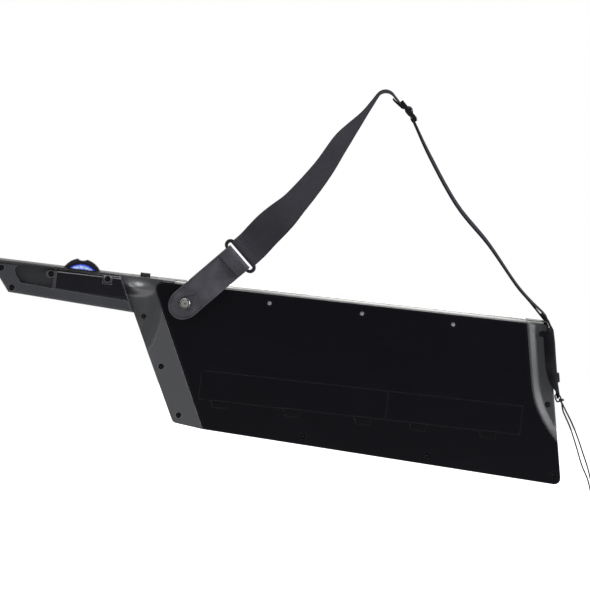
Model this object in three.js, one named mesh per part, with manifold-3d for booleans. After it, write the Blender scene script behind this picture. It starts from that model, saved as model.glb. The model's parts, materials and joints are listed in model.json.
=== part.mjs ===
// A keytar: a keyboard slung from a strap, with a neck for the left hand, in millimetres.
// X runs along the instrument towards the neck, Y out of the rear face and Z up past the keys' free ends.
import * as THREE from 'three';
import { mergeVertices } from 'three/addons/utils/BufferGeometryUtils.js';
import { ConvexGeometry } from 'three/addons/geometries/ConvexGeometry.js';
import Module from 'manifold-3d';

const wasm = await Module();
wasm.setup();

// Clearances that every piece shares
const gap = 0.3;
const moveGap = 0.6;
const overrun = 6;
const wall = 2.5;

// The strap's crown, where it hangs, seen from the lower right corner of the rear face
const crownX = 330;
const crownY = -25;
const crownZ = 320;

// Body outline, seen from behind with the neck towards +X
const bodyLength = 597;
const depthRight = 244;
const depthFootShare = 0.8996;
const depthLeftShare = 0.877;
const footRun = 47;
const endLean = 47;
const bandLean = 104;
const cornerRadius = 9;
const depthFoot = depthFootShare * depthRight;
const depthLeft = depthLeftShare * depthRight;
const footX = bodyLength - footRun;
const shoulderX = bodyLength + bandLean;

// Neck outline
const neckLength = 202;
const neckTipLean = 36;
const neckRise = 2.3;
const neckDepthRoot = 55;
const neckDepthTip = 45;
const neckTipX = shoulderX + neckLength;
const neckTipUnderX = neckTipX - neckTipLean;

// Levels along Y: the rear face is zero
const seamY = -20;
const deckY = -50;
const keyTopY = -53;
const neckRearY = -3;

// Keyboard
const whiteCount = 22;
const keyCount = 37;
const keysShare = 0.866;
const keysPast = 2;
const keyGap = 0.9;
const keyVisibleShare = 0.59426;
const keyHeadLength = 50;
const keyBodyDepth = 11;
const keySkin = 2.4;
const keySkirt = 1.8;
const lipThick = 1.8;
const lipDepth = 22;
const lipClear = 1.4;
const blackWidth = 11;
const blackTopWidth = 9.4;
const blackRise = 11;
const blackDepth = 20;
const blackSlope = 6;
const blackClear = 1.0;
const tailWidth = 7;
const tailDepth = 6;
const pivotPast = 15;
const pivotY = -40.5;
const pivotRadius = 2.5;
const tailPast = 8;

const keyPitch = keysShare * bodyLength / whiteCount;
const keysLeftX = bodyLength + keysPast;
const keysRightX = keysLeftX - whiteCount * keyPitch;
const keyVisible = keyVisibleShare * depthRight;
const pivotZ = -keyVisible - pivotPast;
const coverTop = -(lipThick + lipClear);

// Colours of the finishes
const glossBlack = 0x0b0b0d;
const charcoal = 0x3a3b3d;
const trimGrey = 0x5a5b5d;
const ivory = 0xf2f2ee;
const leatherBlack = 0x2a2a2b;
const strapBlack = 0x1c1c1e;

const colourOf = new THREE.MeshStandardMaterial();
const finish = (color, roughness, metalness = 0) => {
  const material = colourOf.clone();
  material.color.set(color);
  material.roughness = roughness;
  material.metalness = metalness;
  return material;
};

// Joining and cutting
const solidOf = (geometry) => {
  const bare = geometry.index ? geometry.toNonIndexed() : geometry.clone();
  bare.deleteAttribute('normal');
  bare.deleteAttribute('uv');
  const merged = mergeVertices(bare);
  return new wasm.Manifold(new wasm.Mesh({
    numProp: 3,
    vertProperties: new Float32Array(merged.attributes.position.array),
    triVerts: new Uint32Array(merged.index.array),
  }));
};

const geometryOf = (solid) => {
  const mesh = solid.getMesh();
  const geometry = new THREE.BufferGeometry();
  geometry.setAttribute('position', new THREE.BufferAttribute(mesh.vertProperties, 3));
  geometry.setIndex(new THREE.BufferAttribute(mesh.triVerts, 1));
  return geometry;
};

const join = (first, ...others) => others.reduce((whole, part) => whole.add(part), first);
const cut = (first, ...others) => others.reduce((whole, part) => whole.subtract(part), first);
const intersect = (first, ...others) => others.reduce((whole, part) => whole.intersect(part), first);

// Places in the outline: along the body, down its depth, along the neck and down the neck
const alongBody = (share) => share * shoulderX;
const downBody = (share) => -share * depthRight;
const alongNeck = (share) => shoulderX + share * neckLength;
const downNeck = (share) => -share * neckDepthRoot;

// A box from its two X, two Y and two Z faces
const block = (x0, x1, y0, y1, z0, z1) => {
  const geometry = new THREE.BoxGeometry(x1 - x0, y1 - y0, z1 - z0);
  geometry.translate((x0 + x1) / 2, (y0 + y1) / 2, (z0 + z1) / 2);
  return solidOf(geometry);
};

// Plan outlines are lists of [x, z], counterclockwise with X to the right
const shapeOf = (points) => new THREE.Shape(points.map(([x, z]) => new THREE.Vector2(x, z)));

// A plan outline pulled from y0 up to y1
const prism = (points, y0, y1) => {
  const geometry = new THREE.ExtrudeGeometry(shapeOf(points), { depth: y1 - y0, bevelEnabled: false });
  geometry.rotateX(Math.PI / 2);
  geometry.translate(0, y1, 0);
  return solidOf(geometry);
};

// The same with its edge at y1 rounded off, or at y0 when the edge is negative
const softPrism = (points, y0, y1, edge, rounds = 2) => {
  const soft = Math.abs(edge);
  const [from, to] = edge > 0 ? [y0 - 2 * soft, y1] : [y0, y1 + 2 * soft];
  const geometry = new THREE.ExtrudeGeometry(shapeOf(points), {
    depth: to - from - 2 * soft,
    bevelThickness: soft,
    bevelSize: soft,
    bevelOffset: -soft,
    bevelSegments: rounds,
  });
  geometry.rotateX(Math.PI / 2);
  geometry.translate(0, to - soft, 0);
  const far = 2 * (neckTipX + depthRight);
  const waste = edge > 0
    ? block(-far, far, from - overrun, y0, -far, far)
    : block(-far, far, y1, to + overrun, -far, far);
  return solidOf(geometry).subtract(waste);
};

// An outline grown outwards by a distance, or drawn in by a negative one
const offset = (points, distance) => points.map((point, i) => {
  const before = points[(i + points.length - 1) % points.length];
  const after = points[(i + 1) % points.length];
  const edgeIn = new THREE.Vector2(point[0] - before[0], point[1] - before[1]).normalize();
  const edgeOut = new THREE.Vector2(after[0] - point[0], after[1] - point[1]).normalize();
  const normalIn = new THREE.Vector2(edgeIn.y, -edgeIn.x);
  const normalOut = new THREE.Vector2(edgeOut.y, -edgeOut.x);
  const miter = normalIn.clone().add(normalOut).normalize();
  const reach = distance / miter.dot(normalIn);
  return [point[0] + miter.x * reach, point[1] + miter.y * reach];
});

// Corners given as [x, z, radius], with each radius turned into an arc
const rounded = (corners, steps = 4) => corners.flatMap(([x, z, radius = 0], i) => {
  if (radius === 0) return [[x, z]];
  const corner = new THREE.Vector2(x, z);
  const before = corners[(i + corners.length - 1) % corners.length];
  const after = corners[(i + 1) % corners.length];
  const toBefore = new THREE.Vector2(before[0] - x, before[1] - z).normalize();
  const toAfter = new THREE.Vector2(after[0] - x, after[1] - z).normalize();
  const half = Math.acos(THREE.MathUtils.clamp(toBefore.dot(toAfter), -1, 1)) / 2;
  const start = corner.clone().addScaledVector(toBefore, radius / Math.tan(half));
  const end = corner.clone().addScaledVector(toAfter, radius / Math.tan(half));
  const inward = toBefore.clone().add(toAfter).normalize();
  const middle = inward.multiplyScalar(radius / Math.sin(half)).add(corner);
  const a0 = Math.atan2(start.y - middle.y, start.x - middle.x);
  const a1 = Math.atan2(end.y - middle.y, end.x - middle.x);
  const turn = THREE.MathUtils.euclideanModulo(a1 - a0 + Math.PI, 2 * Math.PI) - Math.PI;
  return Array.from({ length: steps + 1 }, (_, k) => {
    const a = a0 + turn * k / steps;
    return [middle.x + radius * Math.cos(a), middle.y + radius * Math.sin(a)];
  });
});

const rectangle = (x0, x1, z0, z1, radius = 0, steps = 2) => rounded([
  [x0, z0, radius],
  [x1, z0, radius],
  [x1, z1, radius],
  [x0, z1, radius],
], steps);

// A profile drawn in Y and Z, pulled along X from x0 to x1
const sideways = (points, x0, x1) => {
  const geometry = new THREE.ExtrudeGeometry(shapeOf(points), { depth: x1 - x0, bevelEnabled: false });
  const turn = new THREE.Matrix4().makeBasis(
    new THREE.Vector3(0, 1, 0),
    new THREE.Vector3(0, 0, 1),
    new THREE.Vector3(1, 0, 0),
  );
  geometry.applyMatrix4(turn);
  geometry.translate(x0, 0, 0);
  return solidOf(geometry);
};

// A round pin along Y, or along X
const pinAlongY = (x, z, radius, y0, y1, sides = 12) => {
  const geometry = new THREE.CylinderGeometry(radius, radius, y1 - y0, sides);
  geometry.translate(x, (y0 + y1) / 2, z);
  return solidOf(geometry);
};
const pinAlongX = (y, z, radius, x0, x1, sides = 16) => {
  const geometry = new THREE.CylinderGeometry(radius, radius, x1 - x0, sides);
  geometry.rotateZ(Math.PI / 2);
  geometry.translate((x0 + x1) / 2, y, z);
  return solidOf(geometry);
};

const keytar = new THREE.Group();
keytar.position.set(-crownX, -crownY, -crownZ);

const place = (name, solid, material, x = 0, y = 0, z = 0) => {
  const geometry = solid.isBufferGeometry ? solid : geometryOf(solid);
  const mesh = new THREE.Mesh(geometry, material);
  mesh.name = name;
  mesh.position.set(x, y, z);
  keytar.add(mesh);
  return mesh;
};

// Outlines that the shells share
const endSlope = endLean / depthRight;
const endX = (z) => endLean + endSlope * z;
const bandSlope = (shoulderX - bodyLength) / depthLeft;
const outerX = (z) => shoulderX + bandSlope * z;
const neckTop = (x) => neckRise * (x - shoulderX) / (neckTipX - shoulderX);
const neckRootX = outerX(-neckDepthRoot);

const frontOutline = rounded([
  [0, -depthRight, cornerRadius],
  [footX, -depthFoot],
  [bodyLength, -depthLeft, cornerRadius],
  [neckRootX, -neckDepthRoot],
  [neckTipUnderX, -neckDepthTip, cornerRadius],
  [neckTipX, neckRise],
  [shoulderX, 0],
  [endLean, 0, cornerRadius],
]);

// Rear cover outline: the left trim's inner edge on one side and the right trim's curve on the other
const bandCornerRadius = 11;
const bandWidth = 50;
const bandInnerX = shoulderX - bandWidth;
const rightTrimWidth = 34;
const rightTrimStraightShare = 0.3893;
const rightTrimBulgeShare = 0.5738;
const rightTrimEndShare = 0.7418;
const rightTrimBulge = 35;
const rightTrimStraight = rightTrimStraightShare * depthRight;
const rightTrimEnd = rightTrimEndShare * depthRight;
const rightTrimBulgeZ = downBody(rightTrimBulgeShare);
const rightTrimCurve = (steps = 8) => new THREE.QuadraticBezierCurve(
  new THREE.Vector2(endX(-rightTrimStraight) + rightTrimWidth, -rightTrimStraight),
  new THREE.Vector2(endX(rightTrimBulgeZ) + rightTrimBulge, rightTrimBulgeZ),
  new THREE.Vector2(endX(-rightTrimEnd), -rightTrimEnd),
).getPoints(steps).map((p) => [p.x, p.y]);

const coverOutline = [
  ...rounded([
    [0, -depthRight, cornerRadius],
    [footX, -depthFoot],
    [bandInnerX, coverTop, bandCornerRadius],
    [endX(coverTop) + rightTrimWidth, coverTop],
    [endX(-rightTrimStraight) + rightTrimWidth, -rightTrimStraight],
    [endX(-rightTrimEnd), -rightTrimEnd],
  ]).slice(0, -2),
  ...rightTrimCurve(),
];

// Screw pockets in the rear face, as shares of the body's length and depth, or of the neck's
const screwRadius = 4.6;
const screwSink = 4.2;
const screwBoss = 7;
const onBody = (shares) => shares.map(([x, z]) => [alongBody(x), downBody(z)]);
const onNeck = (shares) => shares.map(([x, z]) => [alongNeck(x), downNeck(z)]);
const upperScrewShares = [[0.6716, 0.0697], [0.4705, 0.0697], [0.2718, 0.0738]];
const lowerScrewShares = [[0.5685, 0.873], [0.2957, 0.9057], [0.0193, 0.9385]];
const leftTrimScrewShares = [0.2418, 0.5369, 0.8279];
const leftTrimScrewInset = 13.6;
const rightTrimScrewShares = [0.0738, 0.5082];
const rightTrimScrewInset = 11.3;
const neckScrewShares = [[0.5149, 0.1818], [0.0891, 0.1455], [0.8911, 0.1636], [0.797, 0.6727]];
const upperScrews = onBody(upperScrewShares);
const coverScrews = [...upperScrews, ...onBody(lowerScrewShares)];
const leftTrimScrews = leftTrimScrewShares.map(
  (share) => [outerX(downBody(share)) - leftTrimScrewInset, downBody(share)]
);
const rightTrimScrews = rightTrimScrewShares.map(
  (share) => [endX(downBody(share)) + rightTrimScrewInset, downBody(share)]
);
const neckScrews = onNeck(neckScrewShares);

const pocketsFor = (places, top, depth = screwSink) =>
  places.map(([x, z]) => pinAlongY(x, z, screwRadius, top - depth, top + overrun));
const bossesFor = (places, y0, y1) => places.map(([x, z]) => pinAlongY(x, z, screwBoss, y0, y1));

// Compartments behind the two doors
const doorTopShare = 0.5328;
const doorBottomShare = 0.7111;
const doorThick = 2.2;
const doorLeftPast = 12;
const doorSplitShare = 0.3943;
const doorRightShare = 0.1013;
const doorTop = downBody(doorTopShare);
const doorBottom = downBody(doorBottomShare);
const doorLeftX = footX + doorLeftPast;
const doorSplitX = alongBody(doorSplitShare);
const doorRightX = alongBody(doorRightShare);
const doorSpace = 0.5;
const ledge = 3.5;
const ledgeThick = 2.2;
const bayFloorY = -18;
const latchWidth = 30;
const latchDrop = 11;
const latchTaper = 4;
const tongueInset = 1.2;
const hookWidth = 12;
const hookThick = 1.2;
const hookRise = 1.8;
const hookClear = 1.0;
const hookWall = 1.2;
const hookPocketDeep = 4.4;
const hookPocketY = -doorThick - gap - ledgeThick - hookClear - hookThick - 2 * moveGap;
const doorSpan = {
  connector: [doorSplitX + doorSpace, doorLeftX - doorSpace],
  battery: [doorRightX + doorSpace, doorSplitX - doorSpace],
};
const alongDoor = ([x0, x1], shares) => shares.map((share) => x0 + share * (x1 - x0));
const connectorLatchShares = [0.8858, 0.4975, 0.1181];
const batteryLatchShares = [0.7559, 0.2324];
const connectorLatches = alongDoor(doorSpan.connector, connectorLatchShares);
const batteryLatches = alongDoor(doorSpan.battery, batteryLatchShares);
const latchShape = (x, grow) => [
  [x - latchWidth / 2 + latchTaper - grow, doorBottom - latchDrop - grow],
  [x + latchWidth / 2 - latchTaper + grow, doorBottom - latchDrop - grow],
  [x + latchWidth / 2 + grow, doorBottom + overrun],
  [x - latchWidth / 2 - grow, doorBottom + overrun],
];

// Rear cover: a shallow tray whose floor is the glossy rear face, with two compartments let into it
const coverEdge = 2;
const slipWallY = -31;
const bayWall = 2;
const jackWidth = 12.5;
const jackHeight = 12;
const smallJackWidth = 9.5;
const portHeight = 6;
const jackShares = [0.7839, 0.6715, 0.5661];
const jackX = alongDoor(doorSpan.connector, jackShares);
const jackSizes = [
  [jackX[0], jackWidth, jackHeight], [jackX[1], smallJackWidth, jackHeight],
  [jackX[2], jackWidth, portHeight],
];
const jackZ = (doorTop + doorBottom) / 2;
const jackMouthY = -8;

const buildRearCover = () => {
  let cover = softPrism(coverOutline, seamY, 0, coverEdge);
  cover = cut(cover, prism(offset(coverOutline, -wall), seamY - overrun, -wall));
  cover = join(
    cover, block(keysRightX + gap, keysLeftX - gap, slipWallY, -wall / 2, coverTop - wall, coverTop),
  );
  cover = join(cover, ...bossesFor(coverScrews, -screwSink - wall, -wall / 2));
  const bays = Object.values(doorSpan);
  for (const [x0, x1] of bays) {
    cover = join(cover, block(
      x0 + ledge - bayWall, x1 - ledge + bayWall,
      bayFloorY - bayWall, -wall / 2,
      doorBottom + ledge - bayWall, doorTop - ledge + bayWall,
    ));
    cover = join(cover, block(
      x0 - bayWall, x1 + bayWall,
      -doorThick - gap - ledgeThick, -wall / 2,
      doorBottom - bayWall, doorTop + bayWall,
    ));
  }
  for (const x of [...connectorLatches, ...batteryLatches]) {
    cover = join(cover, prism(latchShape(x, bayWall), -doorThick - gap - ledgeThick, -wall / 2));
    cover = join(cover, block(
      x - hookWidth / 2 - moveGap - hookWall, x + hookWidth / 2 + moveGap + hookWall,
      hookPocketY - hookWall, -doorThick - gap - ledgeThick / 2,
      doorTop - ledge, doorTop - ledge + hookPocketDeep + hookWall,
    ));
  }
  for (const [x0, x1] of bays) {
    cover = cut(cover, block(
      x0 + ledge, x1 - ledge,
      bayFloorY, overrun,
      doorBottom + ledge, doorTop - ledge,
    ));
    cover = cut(cover, block(
      x0 - doorSpace, x1 + doorSpace,
      -doorThick - gap, overrun,
      doorBottom - doorSpace, doorTop + doorSpace,
    ));
  }
  for (const x of [...connectorLatches, ...batteryLatches]) {
    cover = cut(cover, prism(latchShape(x, 0), -doorThick - gap, overrun));
    cover = cut(cover, block(
      x - hookWidth / 2 - moveGap, x + hookWidth / 2 + moveGap,
      hookPocketY, -doorThick - gap - ledgeThick,
      doorTop - ledge - overrun, doorTop - ledge + hookPocketDeep,
    ));
  }
  for (const [x, width, height] of jackSizes) {
    cover = cut(cover, block(
      x - width / 2 - moveGap, x + width / 2 + moveGap,
      bayFloorY - overrun, bayFloorY + overrun,
      jackZ - height / 2 - moveGap, jackZ + height / 2 + moveGap,
    ));
  }
  return cut(cover, ...pocketsFor(coverScrews, 0));
};
place('rear_cover', buildRearCover(), finish(glossBlack, 0.12));

// Compartment doors: a plate with hooks behind its upper edge and latch tongues below
const doorEdge = 0.6;
const doorCorner = 1;

const buildDoor = ([x0, x1], latches) => {
  let door = softPrism(rectangle(x0, x1, doorBottom, doorTop, doorCorner), -doorThick, 0, doorEdge);
  for (const x of latches) {
    const tongue = prism(latchShape(x, -tongueInset), -doorThick, -doorThick / 3);
    door = join(door, tongue);
    const hookBack = -doorThick - gap - ledgeThick - hookClear;
    door = join(door, block(
      x - hookWidth / 2, x + hookWidth / 2,
      hookBack - hookThick, -doorThick / 2,
      doorTop - ledge - hookClear - hookThick, doorTop - ledge - hookClear,
    ));
    door = join(door, block(
      x - hookWidth / 2, x + hookWidth / 2,
      hookBack - hookThick, hookBack,
      doorTop - ledge - hookClear - hookThick, doorTop - ledge + hookRise,
    ));
  }
  return door;
};
place('connector_door', buildDoor(doorSpan.connector, connectorLatches), finish(glossBlack, 0.14));
place('battery_door', buildDoor(doorSpan.battery, batteryLatches), finish(glossBlack, 0.14));

// Left end trim: the slanted band beside the neck, hollowed where the left hand's palm comes round
const heelPast = 34;
const heelX = shoulderX + heelPast;
const heelZ = -35;
const heelReachX = 105;
const heelReachZ = 150;
const heelDepth = 15;
const trimEdge = 1.6;

const ellipsoid = (grow) => {
  const ball = new THREE.SphereGeometry(1, 28, 14);
  ball.scale(heelReachX + grow, heelDepth + grow, heelReachZ + grow);
  ball.translate(heelX, 0, heelZ);
  return solidOf(ball);
};

const buildLeftTrim = () => {
  const band = rounded([
    [footX - bandCornerRadius, -depthFoot],
    [footX, -depthFoot],
    [bodyLength, -depthLeft, cornerRadius],
    [shoulderX, 0],
    [bandInnerX - 3 * bandCornerRadius, 0],
    [bandInnerX - 3 * bandCornerRadius, 2 * coverTop],
  ]);
  const rest = offset(coverOutline, gap);
  const hollow = cut(
    prism(offset(band, -wall), seamY - overrun, -wall),
    prism(offset(coverOutline, gap + wall), seamY - 2 * overrun, overrun), ellipsoid(wall),
    ...bossesFor(leftTrimScrews, seamY - 2 * overrun, overrun),
  );
  return cut(
    softPrism(band, seamY, 0, trimEdge),
    prism(rest, seamY - overrun, overrun),
    block(0, keysLeftX + gap, seamY - overrun, overrun, coverTop - overrun / 2, overrun),
    ellipsoid(0),
    hollow,
    ...pocketsFor(leftTrimScrews.slice(1), 0),
    ...pocketsFor(leftTrimScrews.slice(0, 1), -heelDepth / 3, screwSink * 1.5),
  );
};
place('left_end_trim', buildLeftTrim(), finish(charcoal, 0.5));

// Right end trim: a grey piece scooped out beside the strap's end, with sloping walls round a sunk floor
const scoopDepth = 8;
const scoopWall = 12;
const scoopFloorWidth = 60;

const scoopOutline = (grow) => {
  const curve = rightTrimCurve(6).slice(0, -1).map(([x, z]) => [x - scoopWall, z + scoopWall / 3]);
  return offset([
    [endX(-rightTrimEnd) - scoopFloorWidth, -rightTrimEnd + 2 * scoopWall],
    [endX(-rightTrimEnd), -rightTrimEnd + 2 * scoopWall],
    ...curve.reverse(),
    [endX(0) + rightTrimWidth - scoopWall, scoopWall],
    [endX(0) - scoopFloorWidth, scoopWall],
  ], grow);
};

const scoop = (grow) => {
  const geometry = new THREE.ExtrudeGeometry(shapeOf(scoopOutline(grow)), {
    depth: scoopDepth,
    bevelThickness: scoopDepth,
    bevelSize: scoopWall,
    bevelSegments: 1,
  });
  geometry.rotateX(Math.PI / 2);
  geometry.translate(0, scoopDepth, 0);
  return solidOf(geometry);
};

const buildRightTrim = () => {
  const outline = [
    [endX(coverTop), coverTop],
    ...rightTrimCurve(8).slice().reverse(),
    [endX(coverTop) + rightTrimWidth, coverTop],
  ];
  const turned = offset(outline, 0).reverse();
  const counter = THREE.ShapeUtils.area(turned.map(([x, z]) => new THREE.Vector2(x, z))) > 0
    ? turned
    : turned.reverse();
  const small = offset(counter, -gap / 2);
  const hollow = prism(offset(counter, -gap / 2 - wall), seamY - overrun, -scoopDepth - wall);
  return cut(
    prism(small, seamY, 0),
    scoop(0),
    cut(hollow, ...bossesFor(rightTrimScrews, seamY - 2 * overrun, overrun)),
    ...pocketsFor(rightTrimScrews, -scoopDepth, wall),
  );
};
place('right_end_trim', buildRightTrim(), finish(trimGrey, 0.45));

// Front shell: one moulding for the body and the neck, with the key well, the pad windows and the neck's controls
const deckEdge = 3;
const wellClear = 0.8;
const wellWallDepth = 22;
const wheelShare = 0.2921;
const wheelX = alongNeck(wheelShare);
const wheelZ = -15.4;
const wheelRadius = 32;
const wheelFrontY = -37;
const wheelRearY = -23;
const wheelClear = 0.9;
const padCount = 8;
const padPitchShare = 0.04565;
const padFirstShare = 0.48787;
const padDepthShare = 0.7664;
const padSizeShare = 0.8125;
const padRise = 1.6;
const padClear = 0.4;
const sliderIn = 37.6;
const sliderX = shoulderX - sliderIn;
const sliderY = -35;
const sliderBack = 15;
const sliderForth = 18;
const stemWidth = 6;
const stemDepth = 4;
const octaveWidth = 15;
const octaveHeight = 10;
const octaveZ = -24;
const octaveShares = [0.1733, 0.0644];
const octaveX = octaveShares.map(alongNeck);
const octaveTravel = 1;
const octaveRise = 1.8;
const octaveFlange = 1.4;
const octaveRim = 1.5;
const shelfThick = 2;
const stripEndShares = [0.4901, 0.8861];
const stripEdgeShares = [0.5636, 0.2545];
const stripSink = 0.6;
const padPitch = padPitchShare * shoulderX;
const padSize = padSizeShare * padPitch;
const padZ = downBody(padDepthShare);
const padsX = Array.from({ length: padCount }, (_, i) => alongBody(padFirstShare) + i * padPitch);

const buildFrontShell = () => {
  let shell = softPrism(frontOutline, deckY, seamY - gap, -deckEdge);
  shell = cut(shell, prism(offset(frontOutline, -wall), deckY + wall, seamY + overrun));
  shell = cut(shell, block(
    keysRightX - wellClear, keysLeftX + wellClear,
    deckY - overrun, seamY + overrun,
    -keyVisible - lipClear, overrun,
  ));
  const wellEnds = [keysRightX - wellClear - wall, keysLeftX + wellClear];
  for (const x0 of wellEnds) {
    const x1 = x0 + wall;
    shell = join(
      shell, block(x0, x1, deckY + wall / 2, deckY + wellWallDepth, -keyVisible - lipClear, -wall / 2),
    );
  }
  for (const x of padsX) {
    const half = padSize / 2 + padClear;
    shell = cut(
      shell,
      prism(
        rectangle(x - half, x + half, padZ - half, padZ + half, cornerRadius / 3), deckY - overrun,
        deckY + 2 * wall,
      ),
    );
  }
  shell = cut(
    shell,
    pinAlongY(
      wheelX, wheelZ, wheelRadius + wheelClear, wheelFrontY - wheelClear, wheelRearY + wheelClear, 32,
    ),
  );
  shell = cut(shell, block(
    sliderX - sliderBack - stemWidth / 2 - moveGap, sliderX + sliderForth + stemWidth / 2 + moveGap,
    sliderY - stemDepth / 2 - moveGap, sliderY + stemDepth / 2 + moveGap,
    -wall - overrun, overrun,
  ));
  const shelfY = deckY + wall + gap + octaveFlange + octaveTravel + gap;
  for (const x of octaveX) {
    const halfWidth = octaveWidth / 2 + padClear;
    const halfHeight = octaveHeight / 2 + padClear;
    shell = cut(
      shell,
      prism(
        rectangle(
          x - halfWidth, x + halfWidth, octaveZ - halfHeight, octaveZ + halfHeight, octaveHeight / 4,
        ),
        deckY - overrun, deckY + 2 * wall,
      ),
    );
  }
  const shelfEnds = [octaveX[1] - octaveWidth, octaveX[0] + octaveWidth];
  shell = join(
    shell,
    block(
      shelfEnds[0], shelfEnds[1],
      shelfY, shelfY + shelfThick,
      octaveZ - octaveHeight, octaveZ + octaveHeight,
    ),
  );
  for (const x of [shelfEnds[0], shelfEnds[1] - shelfThick]) {
    shell = join(
      shell,
      block(
        x, x + shelfThick,
        deckY + wall / 2, shelfY + shelfThick,
        octaveZ - octaveHeight, octaveZ + octaveHeight,
      ),
    );
  }
  const strip = rectangle(
    ...stripEndShares.map(alongNeck), ...stripEdgeShares.map(downNeck), cornerRadius / 3,
  );
  return cut(shell, prism(strip, deckY - overrun, deckY + stripSink));
};
place('front_shell', buildFrontShell(), finish(glossBlack, 0.2));

// Neck rear shell: a channel for the fingers above a raised rail that the palm rests on
const railHeight = 17;
const railEdge = 4;
const channelY = -13;
const channelLip = 3.5;
const barLeftShare = 0.4752;
const barLeftX = alongNeck(barLeftShare);
const barRibThick = 3;
const barTop = -4.5;
const barPinY = -9;
const barPinZ = -8.5;
const barPinRadius = 1.5;
const barPinReach = 9;
const hingeWidth = 12;
const axlePostRadius = 4;
const axlePostClear = 0.4;
const axlePostEnd = -33.5;
const screwLand = 6.5;
const neckUnder = (x) =>
  -neckDepthRoot + (neckDepthRoot - neckDepthTip) * (x - neckRootX) / (neckTipUnderX - neckRootX);

const neckOutline = offset([
  [neckRootX, -neckDepthRoot],
  [neckTipUnderX, -neckDepthTip],
  [neckTipX, neckRise],
  [shoulderX, 0],
], -gap / 2);
const channelOutline = rounded([
  [neckRootX - overrun, neckUnder(neckRootX - overrun) + railHeight],
  [neckTipUnderX - railHeight, neckUnder(neckTipUnderX - railHeight) + railHeight, cornerRadius],
  [neckTipX - 2 * railHeight, neckTop(neckTipX) - channelLip, cornerRadius],
  [shoulderX - overrun, -channelLip],
]);

const buildNeckRear = () => {
  const land = neckRearY - wall;
  let shell = softPrism(neckOutline, seamY, neckRearY, railEdge);
  shell = cut(shell, prism(offset(neckOutline, -wall), seamY - overrun, channelY - wall));
  shell = cut(shell, cut(
    prism(offset(neckOutline, -wall), seamY - overrun, neckRearY - wall),
    prism(offset(channelOutline, wall), seamY - 2 * overrun, overrun),
    ...bossesFor(neckScrews.slice(2), seamY - 2 * overrun, overrun),
  ));
  shell = cut(shell, prism(channelOutline, channelY, overrun));
  shell = join(shell, block(
    barLeftX + gap, barLeftX + gap + barRibThick,
    channelY - wall / 2, land,
    neckUnder(barLeftX) + railHeight / 2, -channelLip / 2,
  ));
  const [ribScrew, hingeScrew] = neckScrews;
  shell = join(
    shell,
    pinAlongY(ribScrew[0] + barRibThick / 2, ribScrew[1], screwLand, channelY - wall / 2, land),
    block(
      hingeScrew[0] - hingeWidth / 2, hingeScrew[0] + hingeWidth / 2,
      channelY - wall / 2, land,
      hingeScrew[1] - screwLand, -channelLip / 2,
    ),
    pinAlongX(
      barPinY, barPinZ, barPinRadius, hingeScrew[0] - barPinReach - hingeWidth / 2,
      hingeScrew[0] + barPinReach + hingeWidth / 2, 12,
    ),
    pinAlongX(barPinY, barPinZ, barPinRadius, barLeftX - barPinReach, barLeftX + barRibThick, 12),
    pinAlongY(wheelX, wheelZ, axlePostRadius, axlePostEnd, channelY - wall / 2),
  );
  return cut(
    shell, ...pocketsFor(neckScrews.slice(0, 2), land), ...pocketsFor(neckScrews.slice(2), neckRearY),
  );
};
place('neck_rear_shell', buildNeckRear(), finish(charcoal, 0.55));

// Sustain bar: the glossy panel in the neck's channel, hung on pins along its upper edge
const barThickTop = 5;
const barRidge = 1.6;
const barRidgeZ = -16;
const barSwingSpace = 4;
const barSag = 1;

const buildSustainBar = () => {
  const crest = neckRearY - barSag;
  const low = -neckDepthRoot;
  const profile = [
    [crest - barRidge, barTop],
    [crest - barRidge - barThickTop, barTop],
    [channelY + barSwingSpace, low],
    [crest - barRidge, low],
    [crest, 2 * barRidgeZ],
    [crest, barRidgeZ],
  ];
  const plan = intersect(
    prism(offset(channelOutline, -moveGap), channelY, overrun),
    prism(offset([
      [outerX(low), low],
      [barLeftX + moveGap, low],
      [barLeftX + moveGap, barTop],
      [outerX(barTop), barTop],
    ], -moveGap), channelY, overrun),
  );
  const hingeX = neckScrews[1][0];
  const notch = block(
    hingeX - hingeWidth / 2 - moveGap, hingeX + hingeWidth / 2 + moveGap,
    channelY, overrun,
    neckScrews[1][1] - screwLand - 2 * moveGap, overrun,
  );
  return cut(
    intersect(plan, sideways(profile, outerX(low), neckTipX)),
    notch,
    pinAlongX(
      barPinY, barPinZ, barPinRadius + gap, hingeX - barPinReach - hingeWidth / 2 - moveGap,
      hingeX + barPinReach + hingeWidth / 2 + moveGap, 12,
    ),
    pinAlongX(
      barPinY, barPinZ, barPinRadius + gap, barLeftX - barPinReach - moveGap, barLeftX + barRibThick,
      12,
    ),
  );
};
place('sustain_bar', buildSustainBar(), finish(glossBlack, 0.1));

// Pitch wheel: a thumb wheel standing out of the neck's upper edge, notched at the top of its rim
const wheelRim = 5;
const wheelWebSink = 1.6;
const wheelEdge = 1.2;
const notchWidth = 17;
const notchDepth = 3.4;
const hubRadius = 9;

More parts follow.
